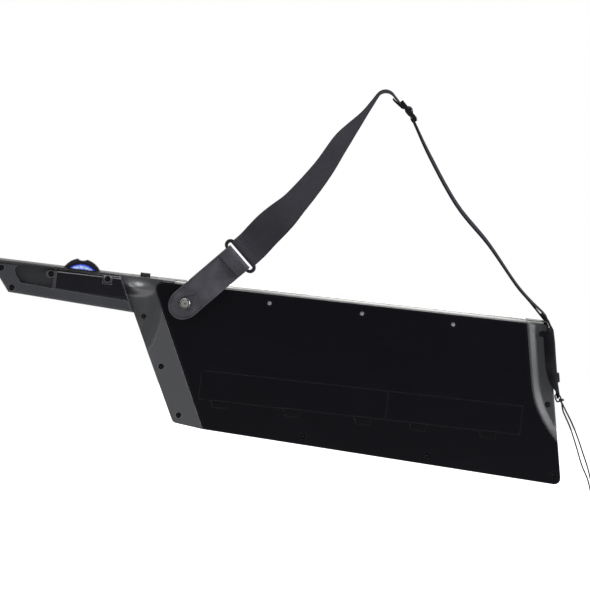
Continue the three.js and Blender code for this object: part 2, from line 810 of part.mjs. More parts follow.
const buildPitchWheel = () => {
  const notchRadius = (notchWidth * notchWidth / 4 + notchDepth * notchDepth) / (2 * notchDepth);
  const half = (wheelRearY - wheelFrontY) / 2;
  let wheel = solidOf(new THREE.LatheGeometry([
    [0, -half], [hubRadius, -half], [hubRadius, -half + wheelWebSink],
    [wheelRadius - wheelRim, -half + wheelWebSink],
    [wheelRadius - wheelRim, -half], [wheelRadius - wheelEdge, -half], [wheelRadius, -half + wheelEdge],
    [wheelRadius, half - wheelEdge], [wheelRadius - wheelEdge, half], [wheelRadius - wheelRim, half],
    [wheelRadius - wheelRim, half - wheelWebSink], [hubRadius, half - wheelWebSink], [hubRadius, half],
    [0, half],
  ].map(([r, y]) => new THREE.Vector2(r, y)), 32));
  wheel = cut(
    wheel, pinAlongY(0, wheelRadius + notchRadius - notchDepth, notchRadius, -2 * half, 2 * half, 28),
  );
  return cut(
    wheel,
    pinAlongY(
      0, 0, axlePostRadius + axlePostClear, axlePostEnd - moveGap - (wheelFrontY + half), 2 * half, 16,
    ),
  );
};
place(
  'pitch_wheel', buildPitchWheel(), finish(0x1b2a6b, 0.3), wheelX, (wheelFrontY + wheelRearY) / 2,
  wheelZ,
);

// Volume slider: a dished cap on a stem, held by a foot inside the slot
const sliderCapWidth = 15;
const sliderCapDepth = 9;
const sliderCapHeight = 5;
const sliderDish = 1.8;
const sliderFoot = 1.5;

const buildVolumeSlider = () => {
  const dishRadius = (sliderCapWidth * sliderCapWidth / 9 + sliderDish * sliderDish) / (2 * sliderDish);
  let slider = block(
    -sliderCapWidth / 2, sliderCapWidth / 2,
    -sliderCapDepth / 2, sliderCapDepth / 2,
    gap, sliderCapHeight,
  );
  const dish = new THREE.CylinderGeometry(dishRadius, dishRadius, 2 * sliderCapDepth, 32);
  dish.translate(0, 0, -(sliderCapHeight + dishRadius - sliderDish));
  slider = cut(slider, solidOf(dish));
  slider = join(
    slider,
    block(
      -stemWidth / 2, stemWidth / 2,
      -stemDepth / 2, stemDepth / 2,
      -wall - gap - sliderFoot, 2 * gap,
    ),
  );
  return join(slider, block(
    -sliderCapWidth / 2, sliderCapWidth / 2,
    -sliderCapDepth / 2, sliderCapDepth / 2,
    -wall - gap - sliderFoot, -wall - gap,
  ));
};
place('volume_slider', buildVolumeSlider(), finish(glossBlack, 0.4), sliderX, sliderY, 0);

// Octave buttons: caps that stand through the neck's face on flanges
const buildOctaveButton = () => {
  const cap = softPrism(
    rectangle(-octaveWidth / 2, octaveWidth / 2, -octaveHeight / 2, octaveHeight / 2, octaveHeight / 4),
    deckY - octaveRise, deckY + wall + 2 * gap, -octaveRise / 3,
  );
  const flange = prism(rectangle(
    -octaveWidth / 2 - octaveRim, octaveWidth / 2 + octaveRim,
    -octaveHeight / 2 - octaveRim, octaveHeight / 2 + octaveRim,
  ), deckY + wall + gap, deckY + wall + gap + octaveFlange);
  return join(cap, flange);
};
place('octave_up_button', buildOctaveButton(), finish(charcoal, 0.6), octaveX[0], 0, octaveZ);
place('octave_down_button', buildOctaveButton(), finish(charcoal, 0.6), octaveX[1], 0, octaveZ);

// Pad mat: eight finger pads moulded on one sheet behind the deck
const padSheet = 1.6;
const padBorder = 6;
const buildPadMat = () => {
  const sheetY = deckY + wall + gap;
  let mat = prism(rectangle(
    padsX[0] - padSize / 2 - padBorder, padsX[padCount - 1] + padSize / 2 + padBorder,
    padZ - padSize / 2 - padBorder, padZ + padSize / 2 + padBorder, padBorder,
  ), sheetY, sheetY + padSheet);
  for (const x of padsX) {
    mat = join(
      mat,
      softPrism(
        rectangle(
          x - padSize / 2, x + padSize / 2, padZ - padSize / 2, padZ + padSize / 2, cornerRadius / 3,
        ),
        deckY - padRise, sheetY + padSheet / 2, -padRise / 2, 1,
      ),
    );
  }
  return mat;
};
place('pad_mat', buildPadMat(), finish(0x8b8d92, 0.7));

// Key chassis: a plate with the pivot bead that the keys rock on, a felt rail for them to land on and guide posts
const chassisY = -29;
const chassisThick = 2.5;
const beadRoom = 3;
const chassisBack = pivotZ - 2 * wall - beadRoom;
const chassisFront = -9;
const chassisInset = 2;
const beadStem = 2.4;
const landingZ0 = -42;
const landingZ1 = -30;
const landingY = -33.2;
const postRadius = 5;
const middlePostShares = [[0.7133, 0.4098], [0.4708, 0.4098], [0.214, 0.4098]];
const middlePosts = onBody(middlePostShares);

const buildChassis = () => {
  const x0 = keysRightX + chassisInset;
  const x1 = keysLeftX - chassisInset;
  let chassis = block(x0, x1, chassisY, chassisY + chassisThick, chassisBack, chassisFront);
  chassis = join(
    chassis,
    block(x0, x1, pivotY, chassisY + chassisThick / 2, pivotZ - beadStem / 2, pivotZ + beadStem / 2),
  );
  chassis = join(chassis, pinAlongX(pivotY, pivotZ, pivotRadius, x0, x1, 12));
  chassis = join(chassis, block(x0, x1, landingY, chassisY + chassisThick / 2, landingZ0, landingZ1));
  const postsTo = (places, y) =>
    places.map(([x, z]) => pinAlongY(x, z, postRadius, chassisY + chassisThick / 2, y, 12));
  return join(
    chassis, ...postsTo(upperScrews, -screwSink - wall - gap), ...postsTo(middlePosts, -wall - gap),
  );
};
place('key_chassis', buildChassis(), finish(0x2c2d30, 0.6));

// Keys: one octave's pattern repeated from the low end at the neck
const scaleNames = [
  'c', 'c_sharp', 'd', 'd_sharp', 'e', 'f', 'f_sharp', 'g', 'g_sharp', 'a', 'a_sharp', 'b',
];
const whiteSteps = [0, 2, 4, 5, 7, 9, 11];
const blackShiftShares = { 1: -0.1, 3: 0.1, 6: -0.15, 8: 0, 10: 0.15 };

const keys = Array.from({ length: keyCount }, (_, i) => {
  const step = i % 12;
  const octave = Math.floor(i / 12);
  const whitesBelow = 7 * octave + whiteSteps.filter((s) => s < step).length;
  const black = step in blackShiftShares;
  const along = black ? whitesBelow + blackShiftShares[step] : whitesBelow + 1 / 2;
  const name = `key_${String(i + 1).padStart(2, '0')}_${scaleNames[step]}`;
  return { name, black, x: keysLeftX - along * keyPitch };
});

const keyTail = (x) => {
  const tail = block(
    x - tailWidth / 2, x + tailWidth / 2,
    pivotY - tailDepth, pivotY,
    pivotZ - tailPast, -keyVisible + keySkirt / 2,
  );
  return cut(tail, pinAlongX(pivotY, pivotZ, pivotRadius + gap, x - keyPitch, x + keyPitch, 12));
};

const buildWhiteKey = (key) => {
  const x0 = -(keyPitch - keyGap) / 2;
  const x1 = -x0;
  const blackHalf = blackWidth / 2 + blackClear;
  const sides = keys.filter((k) => k.black && Math.abs(k.x - key.x) < keyPitch).map((k) => k.x - key.x);
  const low = Math.max(x0, ...sides.filter((s) => s < 0).map((s) => s + blackHalf));
  const high = Math.min(x1, ...sides.filter((s) => s > 0).map((s) => s - blackHalf));
  const plan = [
    [low, -keyVisible],
    [high, -keyVisible],
    ...(high < x1 ? [[high, -keyHeadLength], [x1, -keyHeadLength]] : []),
    [x1, 0],
    [x0, 0],
    ...(low > x0 ? [[x0, -keyHeadLength], [low, -keyHeadLength]] : []),
  ];
  let solid = prism(plan, keyTopY, keyTopY + keyBodyDepth);
  solid = join(solid, block(x0, x1, keyTopY, keyTopY + lipDepth, -lipThick, 0));
  solid = cut(
    solid, prism(offset(plan, -keySkirt), keyTopY + keySkin, keyTopY + keyBodyDepth + overrun),
  );
  return join(solid, keyTail((low + high) / 2));
};

const buildBlackKey = () => {
  const base = blackWidth / 2;
  const top = blackTopWidth / 2;
  const front = -keyHeadLength - blackClear;
  const corners = [
    ...[-base, base].flatMap((x) => [
      new THREE.Vector3(x, keyTopY - blackRise + blackDepth, -keyVisible),
      new THREE.Vector3(x, keyTopY - blackRise + blackDepth, front),
    ]),
    ...[-top, top].flatMap((x) => [
      new THREE.Vector3(x, keyTopY - blackRise, -keyVisible),
      new THREE.Vector3(x, keyTopY - blackRise, front - blackSlope),
    ]),
  ];
  const solid = solidOf(new ConvexGeometry(corners));
  const hollow = block(
    -top + keySkirt, top - keySkirt,
    keyTopY - blackRise + keySkin, keyTopY - blackRise + blackDepth + overrun,
    -keyVisible + keySkirt, front - blackSlope - keySkirt,
  );
  return join(cut(solid, hollow), keyTail(0));
};

const ivoryFinish = finish(ivory, 0.25);
const ebonyFinish = finish(0x111112, 0.35);
for (const key of keys) {
  place(
    key.name, key.black ? buildBlackKey() : buildWhiteKey(key), key.black ? ebonyFinish : ivoryFinish,
    key.x,
  );
}

// Circuit board: it lies on the back of the connector compartment, with its sockets standing into it
const boardEndShares = [0.081, 0.942];
const boardEdgeShares = [0.8525, 0.459];
const [boardX0, boardX1] = alongDoor(doorSpan.connector, boardEndShares);
const [boardZ0, boardZ1] = boardEdgeShares.map(downBody);
const boardThick = 1.6;
const socketBore = 0.6;
const buildBoard = () => {
  const rear = bayFloorY - bayWall - gap;
  let board = block(boardX0, boardX1, rear - boardThick, rear, boardZ0, boardZ1);
  for (const [x, width, height] of jackSizes) {
    board = join(
      board,
      block(
        x - width / 2, x + width / 2,
        rear - boardThick / 2, jackMouthY,
        jackZ - height / 2, jackZ + height / 2,
      ),
    );
    board = cut(board, block(
      x - socketBore * width / 2, x + socketBore * width / 2,
      (bayFloorY + jackMouthY) / 2, jackMouthY + overrun,
      jackZ - socketBore * height / 2, jackZ + socketBore * height / 2,
    ));
  }
  return board;
};
place('circuit_board', buildBoard(), finish(0x1d4a2c, 0.5));

// A section carried along stations, each with a point p and the section's directions w and n
const sweep = (stations, sectionAt, closed = false) => {
  const rings = stations.map(
    ({ p, w, n }, i) =>
      sectionAt(i).map(([a, b]) => p.clone().addScaledVector(w, a).addScaledVector(n, b))
  );
  const sides = rings[0].length;
  const triangles = [];
  const count = rings.length;
  for (let i = 0; i < (closed ? count : count - 1); i += 1) {
    for (let k = 0; k < sides; k += 1) {
      const a = i * sides + k;
      const b = i * sides + (k + 1) % sides;
      const c = ((i + 1) % count) * sides + (k + 1) % sides;
      const d = ((i + 1) % count) * sides + k;
      triangles.push(a, b, c, a, c, d);
    }
  }
  for (let k = 1; k < sides - 1 && !closed; k += 1) {
    const last = (count - 1) * sides;
    triangles.push(0, k + 1, k, last, last + k, last + k + 1);
  }
  return new wasm.Manifold(new wasm.Mesh({
    numProp: 3,
    vertProperties: new Float32Array(rings.flat().flatMap((v) => v.toArray())),
    triVerts: new Uint32Array(triangles),
  }));
};

const tangents = (points) => points.map((p, i) => {
  const before = points[Math.max(i - 1, 0)];
  const after = points[Math.min(i + 1, points.length - 1)];
  return after.clone().sub(before).normalize();
});

// A flat band along points, turned about its own line: zero lies flat to the rear face, a right angle stands edge on
const band = (points, width, thick, turnAt = () => Math.PI / 2) => {
  const along = tangents(points);
  const stations = points.map((p, i) => {
    const outward = new THREE.Vector3(along[i].z, 0, -along[i].x).normalize();
    const w = outward.multiplyScalar(Math.cos(turnAt(i))).addScaledVector(
      new THREE.Vector3(0, -1, 0), Math.sin(turnAt(i)),
    );
    w.addScaledVector(along[i], -w.dot(along[i])).normalize();
    return { p, w, n: along[i].clone().cross(w) };
  });
  return sweep(stations, (i) => {
    const half = (typeof width === 'function' ? width(i) : width) / 2;
    return [[-half, -thick / 2], [half, -thick / 2], [half, thick / 2], [-half, thick / 2]];
  });
};

// A round cord along points
const cordSides = 6;
const circle = (radius, sides = cordSides) => Array.from({ length: sides }, (_, k) => {
  const a = 2 * Math.PI * k / sides;
  return [radius * Math.cos(a), radius * Math.sin(a)];
});
const cord = (points, radius) => {
  const along = tangents(points);
  let w = new THREE.Vector3(0, 1, 0);
  const stations = points.map((p, i) => {
    w = w.clone().addScaledVector(along[i], -w.dot(along[i])).normalize();
    return { p, w, n: along[i].clone().cross(w) };
  });
  return sweep(stations, () => circle(radius));
};
const smooth = (points, steps) =>
  new THREE.CatmullRomCurve3(points, false, 'centripetal').getSpacedPoints(steps);
const at = (x, y, z) => new THREE.Vector3(x, y, z);
const between = (from, to, x, y, z) =>
  at(from.x + x * (to.x - from.x), from.y + y * (to.y - from.y), from.z + z * (to.z - from.z));

// A solid drawn along X, Y and Z, moved to an origin with X along one direction and Y along another
const inFrame = (solid, origin, along, out) => {
  const z = along.clone().cross(out);
  return solid.transform(new THREE.Matrix4().makeBasis(along, out, z).setPosition(origin).elements);
};
const outOfRear = at(0, 1, 0);

// Strap pegs: a flanged button on the rear face and one on the end wall
const pegShare = 0.8532;
const pegDepthShare = 0.1266;
const endPegShare = 0.3484;
const pegX = alongBody(pegShare);
const pegZ = downBody(pegDepthShare);
const endPegZ = downBody(endPegShare);
const endPegY = -33;
const pegFlange = 9;
const pegFlangeThick = 1.5;
const pegNeck = 5;
const pegHead = 7.8;
const pegHeadY = 6.7;
const pegTop = 11;
const pegEdge = 1.1;
const crossReach = 3.4;
const crossWide = 1.3;
const crossDeep = 1.6;

const buildPeg = () => {
  const peg = solidOf(new THREE.LatheGeometry([
    [0, gap],
    [pegFlange, gap],
    [pegFlange, gap + pegFlangeThick / 2],
    [pegNeck, gap + pegFlangeThick],
    [pegNeck, pegHeadY - gap],
    [pegHead - gap, pegHeadY],
    [pegHead, pegHeadY + pegEdge],
    [pegHead, pegTop - pegEdge],
    [pegHead - pegEdge, pegTop],
    [0, pegTop],
  ].map(([r, y]) => new THREE.Vector2(r, y)), 18));
  return cut(
    peg,
    block(-crossReach, crossReach, pegTop - crossDeep, pegTop + overrun, -crossWide / 2, crossWide / 2),
    block(-crossWide / 2, crossWide / 2, pegTop - crossDeep, pegTop + overrun, -crossReach, crossReach),
  );
};
const strapSlope = 133;
const strapAlong = at(
  Math.cos(THREE.MathUtils.degToRad(strapSlope)), 0, Math.sin(THREE.MathUtils.degToRad(strapSlope)),
);
const endLength = Math.hypot(1, endSlope);
const endUp = at(endSlope / endLength, 0, 1 / endLength);
const endOut = at(-1 / endLength, 0, endSlope / endLength);
const endPegAt = at(endX(endPegZ), endPegY, endPegZ);
const steel = finish(0xb9bbc0, 0.3, 1);
place('rear_strap_peg', inFrame(buildPeg(), at(pegX, 0, pegZ), strapAlong, outOfRear), steel);
place('end_strap_peg', inFrame(buildPeg(), endPegAt, endUp, endOut), steel);

// Rear strap tab: a leather end buttoned over the rear peg and folded round the ring
const leatherThick = 3;
const leatherLift = 2.2;
const tabHalf = 23;
const tabReach = 27;
const tabBar = 104;
const tabFold = 87;
const ringWire = 2;
const ringSpan = 13.2;
const ringHalf = 28;
const ringY = leatherLift + leatherThick + gap + ringWire;
const slitTip = 22;
const patchThick = 0.8;
const patchBite = 1;
const patchTip = 2;
const patchInset = 3.6;
const patchEnd = 15;
const tabArcSteps = 12;

const tabEnd = (inset) => Array.from({ length: tabArcSteps - 1 }, (_, k) => {
  const a = Math.PI / 2 + Math.PI * (k + 1) / tabArcSteps;
  return [(tabReach - inset) * Math.cos(a), (tabHalf - inset) * Math.sin(a)];
});

const buildRearTab = () => {
  const top = leatherLift + leatherThick;
  const outline = [[0, -tabHalf], [tabBar, -tabHalf], [tabBar, tabHalf], [0, tabHalf], ...tabEnd(0)];
  const patchHalf = tabHalf - patchInset;
  const patch = [
    [0, -patchHalf], [patchEnd, -patchHalf], [slitTip + patchTip, 0], [patchEnd, patchHalf],
    [0, patchHalf], ...tabEnd(patchInset),
  ];
  const keyhole = [[pegNeck / 2, -pegNeck], [slitTip, 0], [pegNeck / 2, pegNeck]];
  let tab = softPrism(outline, leatherLift, top, leatherThick / 4);
  tab = join(tab, softPrism(patch, leatherLift + patchBite, top + patchThick, patchThick / 2));
  const roll = pinAlongX(ringY, tabBar, ringWire + gap + leatherThick, -tabHalf, tabHalf, 24);
  const flap = sideways([
    [top - patchBite, tabFold],
    [top + leatherThick, tabFold],
    [ringY + ringWire + gap + leatherThick, tabBar],
    [ringY + ringWire + gap, tabBar],
  ], -tabHalf, tabHalf);
  const hollow = pinAlongX(ringY, tabBar, ringWire + gap, -2 * tabHalf, 2 * tabHalf, 24);
  const turned = (solid) => inFrame(solid, at(0, 0, 0), at(0, 0, -1), at(0, 1, 0));
  tab = join(tab, turned(roll), turned(flap));
  tab = cut(
    tab, turned(hollow), pinAlongY(0, 0, pegNeck + gap, -overrun, 2 * overrun),
    prism(keyhole, -overrun, 2 * overrun),
  );
  return inFrame(tab, at(pegX, 0, pegZ), strapAlong, outOfRear);
};
place('rear_strap_tab', buildRearTab(), finish(leatherBlack, 0.6));

// Ring: a rectangular wire loop between the tab and the webbing
const ringCorner = 3;
const buildRing = () => {
  const path = rectangle(tabBar, tabBar + ringSpan, -ringHalf, ringHalf, ringCorner);
  const stations = path.map(([x, z], i) => {
    const [bx, bz] = path[(i + path.length - 1) % path.length];
    const [ax, az] = path[(i + 1) % path.length];
    const w = at(az - bz, 0, bx - ax).normalize();
    return { p: at(x, ringY, z), w, n: outOfRear };
  });
  return inFrame(
    sweep(stations, () => circle(ringWire), true), at(pegX, 0, pegZ), strapAlong, outOfRear,
  );
};
place('strap_ring', buildRing(), finish(0x17181a, 0.35, 1));

// Webbing: one band from the ring over the crown, through the adjuster, round the end tab and back
const webWidth = 50;
const webThick = 1.8;
const crownBend = 15;
const leftRise = 57;
const adjusterFall = 45;
const adjusterFrom = 33.5;
const barApart = 13;
const barRadius = 2;
const layerGap = 0.5;
const leafSpread = 1.75;
const headSlope = 45.5;
const degrees = THREE.MathUtils.degToRad;
const sleeveMid = barRadius + gap + webThick / 2;
const overSleeve = sleeveMid + webThick + gap;

const ringEnd = at(pegX, 0, pegZ).addScaledVector(strapAlong, tabBar + ringSpan).setY(ringY);
const leftRouteShares = [
  [0.065, 0.17, 0.05, 0],
  [0.16, 0.23, 0.14, 2],
  [0.352, 0.38, 0.302, 38],
  [0.554, 0.6, 0.516, 57],
  [0.708, 0.785, 0.707, 68],
  [0.841, 0.91, 0.861, 82],
];
const crownMid = at(crownX, crownY, crownZ + webThick / 2 - crownBend);
const adjusterAlong = at(-Math.cos(degrees(adjusterFall)), 0, -Math.sin(degrees(adjusterFall)));
const adjusterOut = at(-Math.sin(degrees(adjusterFall)), 0, Math.cos(degrees(adjusterFall)));
const adjusterAt = crownMid.clone().addScaledVector(
  adjusterOut, crownBend + sleeveMid,
).addScaledVector(adjusterAlong, adjusterFrom);
const inAdjuster = (s, n) =>
  adjusterAt.clone().addScaledVector(adjusterAlong, s).addScaledVector(adjusterOut, n);
const arcIn = (toPlace, s, n, radius, from, to, steps) => Array.from({ length: steps + 1 }, (_, k) => {
  const a = degrees(from + (to - from) * k / steps);
  return toPlace(s + radius * Math.cos(a), n + radius * Math.sin(a));
});

// The leather end: it lies along the end wall, leans out over the lace and bends over the corner under the webbing
const tabLean = 2;
const endTabReach = 32;
const tabStraight = 65;
const headPast = 5.3;
const headX = endLean + headPast;
const headZ = 4.9;
const headBar = 7;
const slotDeep = 5.2;
const slotHalf = 26;
const headWidth = 60;
const endTabWidth = 45;
const headAlong = at(Math.cos(degrees(headSlope)), 0, Math.sin(degrees(headSlope)));
const headOut = at(-Math.sin(degrees(headSlope)), 0, Math.cos(degrees(headSlope)));
const headAt = at(headX, endPegY, headZ);
const onEnd = (up, out) => endPegAt.clone().addScaledVector(endUp, up).addScaledVector(endOut, out);
const uTurn = leatherThick / 2 + gap + webThick / 2;
const inHead = (s, n) => headAt.clone().addScaledVector(headAlong, s).addScaledVector(headOut, n);

const runShares = [[0.128, 0.25, 0.183], [0.356, 0.5, 0.45], [0.585, 0.75, 0.638], [0.815, 0.9, 0.86]];
const spread = (points, out) => points.map((p, i) => {
  const along = tangents(points)[i];
  return p.clone().addScaledVector(at(along.z, 0, -along.x).normalize(), out);
});

const buildWebbing = () => {
  const crownArc = arcIn(
    (x, z) => at(crownX + x, crownY, crownMid.z + z), 0, 0, crownBend, 90 - leftRise, 90 + adjusterFall,
    8,
  );
  const left = [
    ringEnd.clone().addScaledVector(strapAlong, webThick / 2).setY(ringY - sleeveMid - gap),
    ...leftRouteShares.map(
      ([x, y, z]) => between(ringEnd, at(crownX, crownY, crownMid.z + crownBend), x, y, z)
    ),
    crownArc[0],
  ];
  const leftRun = smooth(left, 30);
  const lengths = [0];
  left.slice(1).forEach((p, i) => lengths.push(lengths[i] + p.distanceTo(left[i])));
  const turns = [0, ...leftRouteShares.map((station) => station[3]), 90];
  const turnOf = (share) => {
    const reach = share * lengths[lengths.length - 1];
    const i = Math.min(lengths.findIndex((l) => l >= reach - gap) || 1, lengths.length - 1);
    const t = (reach - lengths[i - 1]) / (lengths[i] - lengths[i - 1]);
    return degrees(turns[i - 1] + (turns[i] - turns[i - 1]) * THREE.MathUtils.clamp(t, 0, 1));
  };
  const wrap = THREE.MathUtils.radToDeg(Math.asin((sleeveMid + overSleeve) / barApart));
  const weave = [
    ...arcIn(inAdjuster, -barApart, 0, sleeveMid, -90, -90 + wrap, 3),
    ...arcIn(inAdjuster, 0, 0, overSleeve, 90 + wrap, 90 - wrap, 6),
    ...arcIn(inAdjuster, barApart, 0, sleeveMid, -90 - wrap, -90, 3),
    inAdjuster(barApart + 2 * barRadius, -sleeveMid),
  ];
  const run = runShares.map(
    ([x, y, z]) => between(weave[weave.length - 1], inHead(headBar, 0), x, y, z)
  );
  const outer = smooth(
    [weave[weave.length - 1], ...spread(run, leafSpread), inHead(headBar, uTurn)], 14,
  ).slice(1);
  const back = smooth([
    inHead(headBar, -uTurn),
    ...spread(run, -leafSpread).reverse(),
    inAdjuster(barApart + 2 * barRadius, -sleeveMid - webThick - layerGap),
  ], 14).slice(0, -1);
  const turn = arcIn(inHead, 0, 0, uTurn, 90, 270, 6);
  const home = [
    inAdjuster(barApart + 2 * barRadius, -sleeveMid - webThick - layerGap),
    inAdjuster(barApart, -sleeveMid - webThick - layerGap),
    inAdjuster(barApart / 2, -sleeveMid - layerGap),
    inAdjuster(0, -sleeveMid),
  ];
  const path = [...leftRun, ...crownArc.slice(1), ...weave, ...outer, ...turn, ...back, ...home];
  const long = band(
    path, webWidth, webThick,
    (i) => (i < leftRun.length ? turnOf(i / (leftRun.length - 1)) : Math.PI / 2),
  );
  const sleeve = cut(
    pinAlongY(0, 0, sleeveMid + webThick / 2, -webWidth / 2, webWidth / 2, 20),
    pinAlongY(0, 0, sleeveMid - webThick / 2, -webWidth, webWidth, 20),
  );
  const ringSleeve = inFrame(sleeve, ringEnd, strapAlong, strapAlong.clone().cross(outOfRear));
  const barSleeve = inFrame(sleeve, adjusterAt, adjusterAlong, outOfRear);
  return join(long, ringSleeve, barSleeve);
};
place('strap_webbing', buildWebbing(), finish(strapBlack, 0.85));

// Adjuster: a moulded slide with three bars between two humped rails
const railInner = 25.6;
const railOuter = 29;
const adjusterHalf = 17.5;
const railLow = 2.4;
const railHump = 4.5;
const humpHalf = 4;
const buildAdjuster = () => {
  const profile = [
    [-adjusterHalf, -railLow],
    [adjusterHalf, -railLow],
    [adjusterHalf, railLow],
    [2 * humpHalf, railLow],
    [humpHalf, railHump],
    [-humpHalf, railHump],
    [-2 * humpHalf, railLow],
    [-adjusterHalf, railLow],
  ];
  const rails = [
    [-railOuter, -railInner], [railInner, railOuter],
  ].map(([y0, y1]) => prism(profile, y0, y1));
  const bars = [-barApart, 0, barApart].map(
    (x) => pinAlongY(x, 0, barRadius, -railInner - gap, railInner + gap, 12)
  );
  return inFrame(join(...rails, ...bars), adjusterAt, adjusterAlong, outOfRear);
};
place('strap_adjuster', buildAdjuster(), finish(0x2b2b2d, 0.6));

// End tab: the second leather end, with a slot for the webbing and an eyelet for the lace
const eyeletUp = -25.5;
const eyeletRadius = 3.2;
const buildEndTab = () => {
  const mid = leatherLift + leatherThick / 2;
  const line = smooth([
    onEnd(-endTabReach, mid + tabLean),
    onEnd(-endTabReach / 2, mid + tabLean / 3),
    onEnd(0, mid),
    onEnd(tabReach, mid),
    onEnd(tabStraight, mid),
    inHead(-2 * slotDeep, 0),
    inHead(0, 0),
    inHead(headBar, 0),
  ], 40);
  const lengths = [0];
  line.slice(1).forEach((p, i) => lengths.push(lengths[i] + p.distanceTo(line[i])));
  const total = lengths[lengths.length - 1];
  const widthAt = (i) => {
    const toHead = total - lengths[i];
    if (toHead < 3 * headBar) return headWidth;
    const round = Math.min(lengths[i] / endTabReach, 1);
    return Math.max(endTabWidth * Math.sqrt(1 - (1 - round) * (1 - round)), endTabWidth / 5);
  };
  const slot = inFrame(
    block(-slotDeep, 0, -overrun / 2, overrun / 2, -slotHalf, slotHalf), headAt, headAlong, headOut,
  );
  const hole = inFrame(pinAlongY(0, 0, pegNeck + gap, -overrun, 2 * overrun), endPegAt, endUp, endOut);
  const slit = inFrame(
    prism([[pegNeck / 2, -pegNeck], [slitTip, 0], [pegNeck / 2, pegNeck]], -overrun, 2 * overrun),
    endPegAt, endUp, endOut,
  );
  const eyelet = inFrame(
    pinAlongY(eyeletUp, 0, eyeletRadius, -overrun, 2 * overrun, 16), endPegAt, endUp, endOut,
  );
  return cut(band(line, widthAt, leatherThick), slot, hole, slit, eyelet);
};
place('end_strap_tab', buildEndTab(), finish(leatherBlack, 0.6));

// Lace: looped through the eyelet and knotted under the tab, its strands routed from the knot
const laceRadius = 1.2;
const knotRadius = 2.6;
const knotDrop = 9.6;
const knotOut = 10.4;
const knotAt = onEnd(eyeletUp - knotDrop, knotOut);
const fromKnot = ([x, y, z]) => at(knotAt.x + x, knotAt.y + y, knotAt.z + z);
const loopRise = [1.3, 0, 3.4];
const loopFall = [[8.4, 0, 0.4], [4.9, 0, -3.1]];
const strandA = [
  [-8.6, 1, -14.1], [-19.8, 2, -31.5], [-31.7, 3, -53.4], [-41, 4, -73.4],
  [-54, 5, -102.3], [-66.5, 6, -143.4], [-75.5, 6, -191.4], [-79.5, 6, -247.4],
];
const strandB = [
  [-5.2, -1, -15.9], [-18.3, -2, -39], [-30.6, -3, -65.9], [-43.4, -3, -96.1],
  [-55.8, -3, -119.2], [-66.5, -3, -156.4], [-72, -3, -201.4], [-74, -3, -239.4],
];
const buildLace = () => {
  const strand = (points) => cord(smooth([knotAt, ...points.map(fromKnot)], 16), laceRadius);
  const loop = cord(smooth([
    knotAt,
    fromKnot(loopRise),
    onEnd(eyeletUp - 2 * laceRadius, leatherLift + leatherThick + tabLean + laceRadius),
    onEnd(eyeletUp, leatherLift + leatherThick / 2 + tabLean / 2),
    onEnd(eyeletUp - 2 * laceRadius, 2 * laceRadius),
    ...loopFall.map(fromKnot),
    knotAt,
  ], 20), laceRadius);
  const ball = new THREE.SphereGeometry(knotRadius, 10, 6);
  ball.translate(knotAt.x, knotAt.y, knotAt.z);
  const stub = cord([knotAt, fromKnot([-1.5 * knotRadius, 0, laceRadius])], laceRadius * 1.4);
  return join(solidOf(ball), loop, stub, strand(strandA), strand(strandB));
};
place('strap_lace', buildLace(), finish(strapBlack, 0.8));

export default keytar;
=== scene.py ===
import json
import math

import bmesh
import bpy
import numpy as np
from mathutils import Matrix, Vector

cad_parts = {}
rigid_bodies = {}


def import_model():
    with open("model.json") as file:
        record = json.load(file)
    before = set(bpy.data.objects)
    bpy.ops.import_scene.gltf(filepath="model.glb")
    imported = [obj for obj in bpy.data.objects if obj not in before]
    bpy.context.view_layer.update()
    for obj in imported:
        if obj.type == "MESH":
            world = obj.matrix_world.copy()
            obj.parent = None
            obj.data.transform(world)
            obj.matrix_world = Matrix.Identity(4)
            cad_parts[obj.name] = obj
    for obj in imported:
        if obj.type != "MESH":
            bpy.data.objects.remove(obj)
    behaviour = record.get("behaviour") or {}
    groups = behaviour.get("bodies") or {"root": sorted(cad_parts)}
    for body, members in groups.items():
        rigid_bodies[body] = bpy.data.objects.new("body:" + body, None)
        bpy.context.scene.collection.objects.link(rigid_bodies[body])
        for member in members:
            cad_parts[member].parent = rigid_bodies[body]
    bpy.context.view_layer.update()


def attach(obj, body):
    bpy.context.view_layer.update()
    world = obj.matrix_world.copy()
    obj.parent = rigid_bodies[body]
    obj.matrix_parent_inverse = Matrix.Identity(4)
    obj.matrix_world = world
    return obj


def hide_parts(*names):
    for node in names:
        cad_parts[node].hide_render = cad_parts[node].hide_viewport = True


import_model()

# Camera and studio.
# The instrument hangs by its strap over a pale floor, seen from behind through a long lens, a little tilted.
# A white sky shows to the camera and in gloss; large soft lamps stand above it and on three sides.
PHOTO_WIDTH = 0.894
CAMERA_AWAY = 9.0
CAMERA_REACH = 60
CAMERA_LIFT = math.radians(5)
CAMERA_ROLL = math.radians(6.4)
CAMERA_TARGET = Vector((0.1038, 0.025, -0.3209))
SENSOR = 36
FLOOR_LEVEL = -0.9
FLOOR_HALF = 4.0
FLOOR_WHITE = (0.86, 0.86, 0.86, 1)
FLOOR_FADE = (0.5, 1.6)
FLOOR_GLOW = (0.5, 1.2)
WHITE = (1, 1, 1, 1)
SKY_LIGHT = 0.16
LAMPS = {
    "lamp_over": ((0.5, 0.45, 1.9), (0.1, 0, -0.3), 1.2, 48),
    "lamp_left": ((2.1, 0.7, 0.7), (0.3, 0, -0.3), 0.9, 40),
    "lamp_right": ((-2.0, 0.42, 0.2), (-0.2, 0, -0.35), 0.9, 68),
    "lamp_front": ((-0.3, -2.2, 0.8), (0.1, 0, -0.35), 1.6, 30),
}

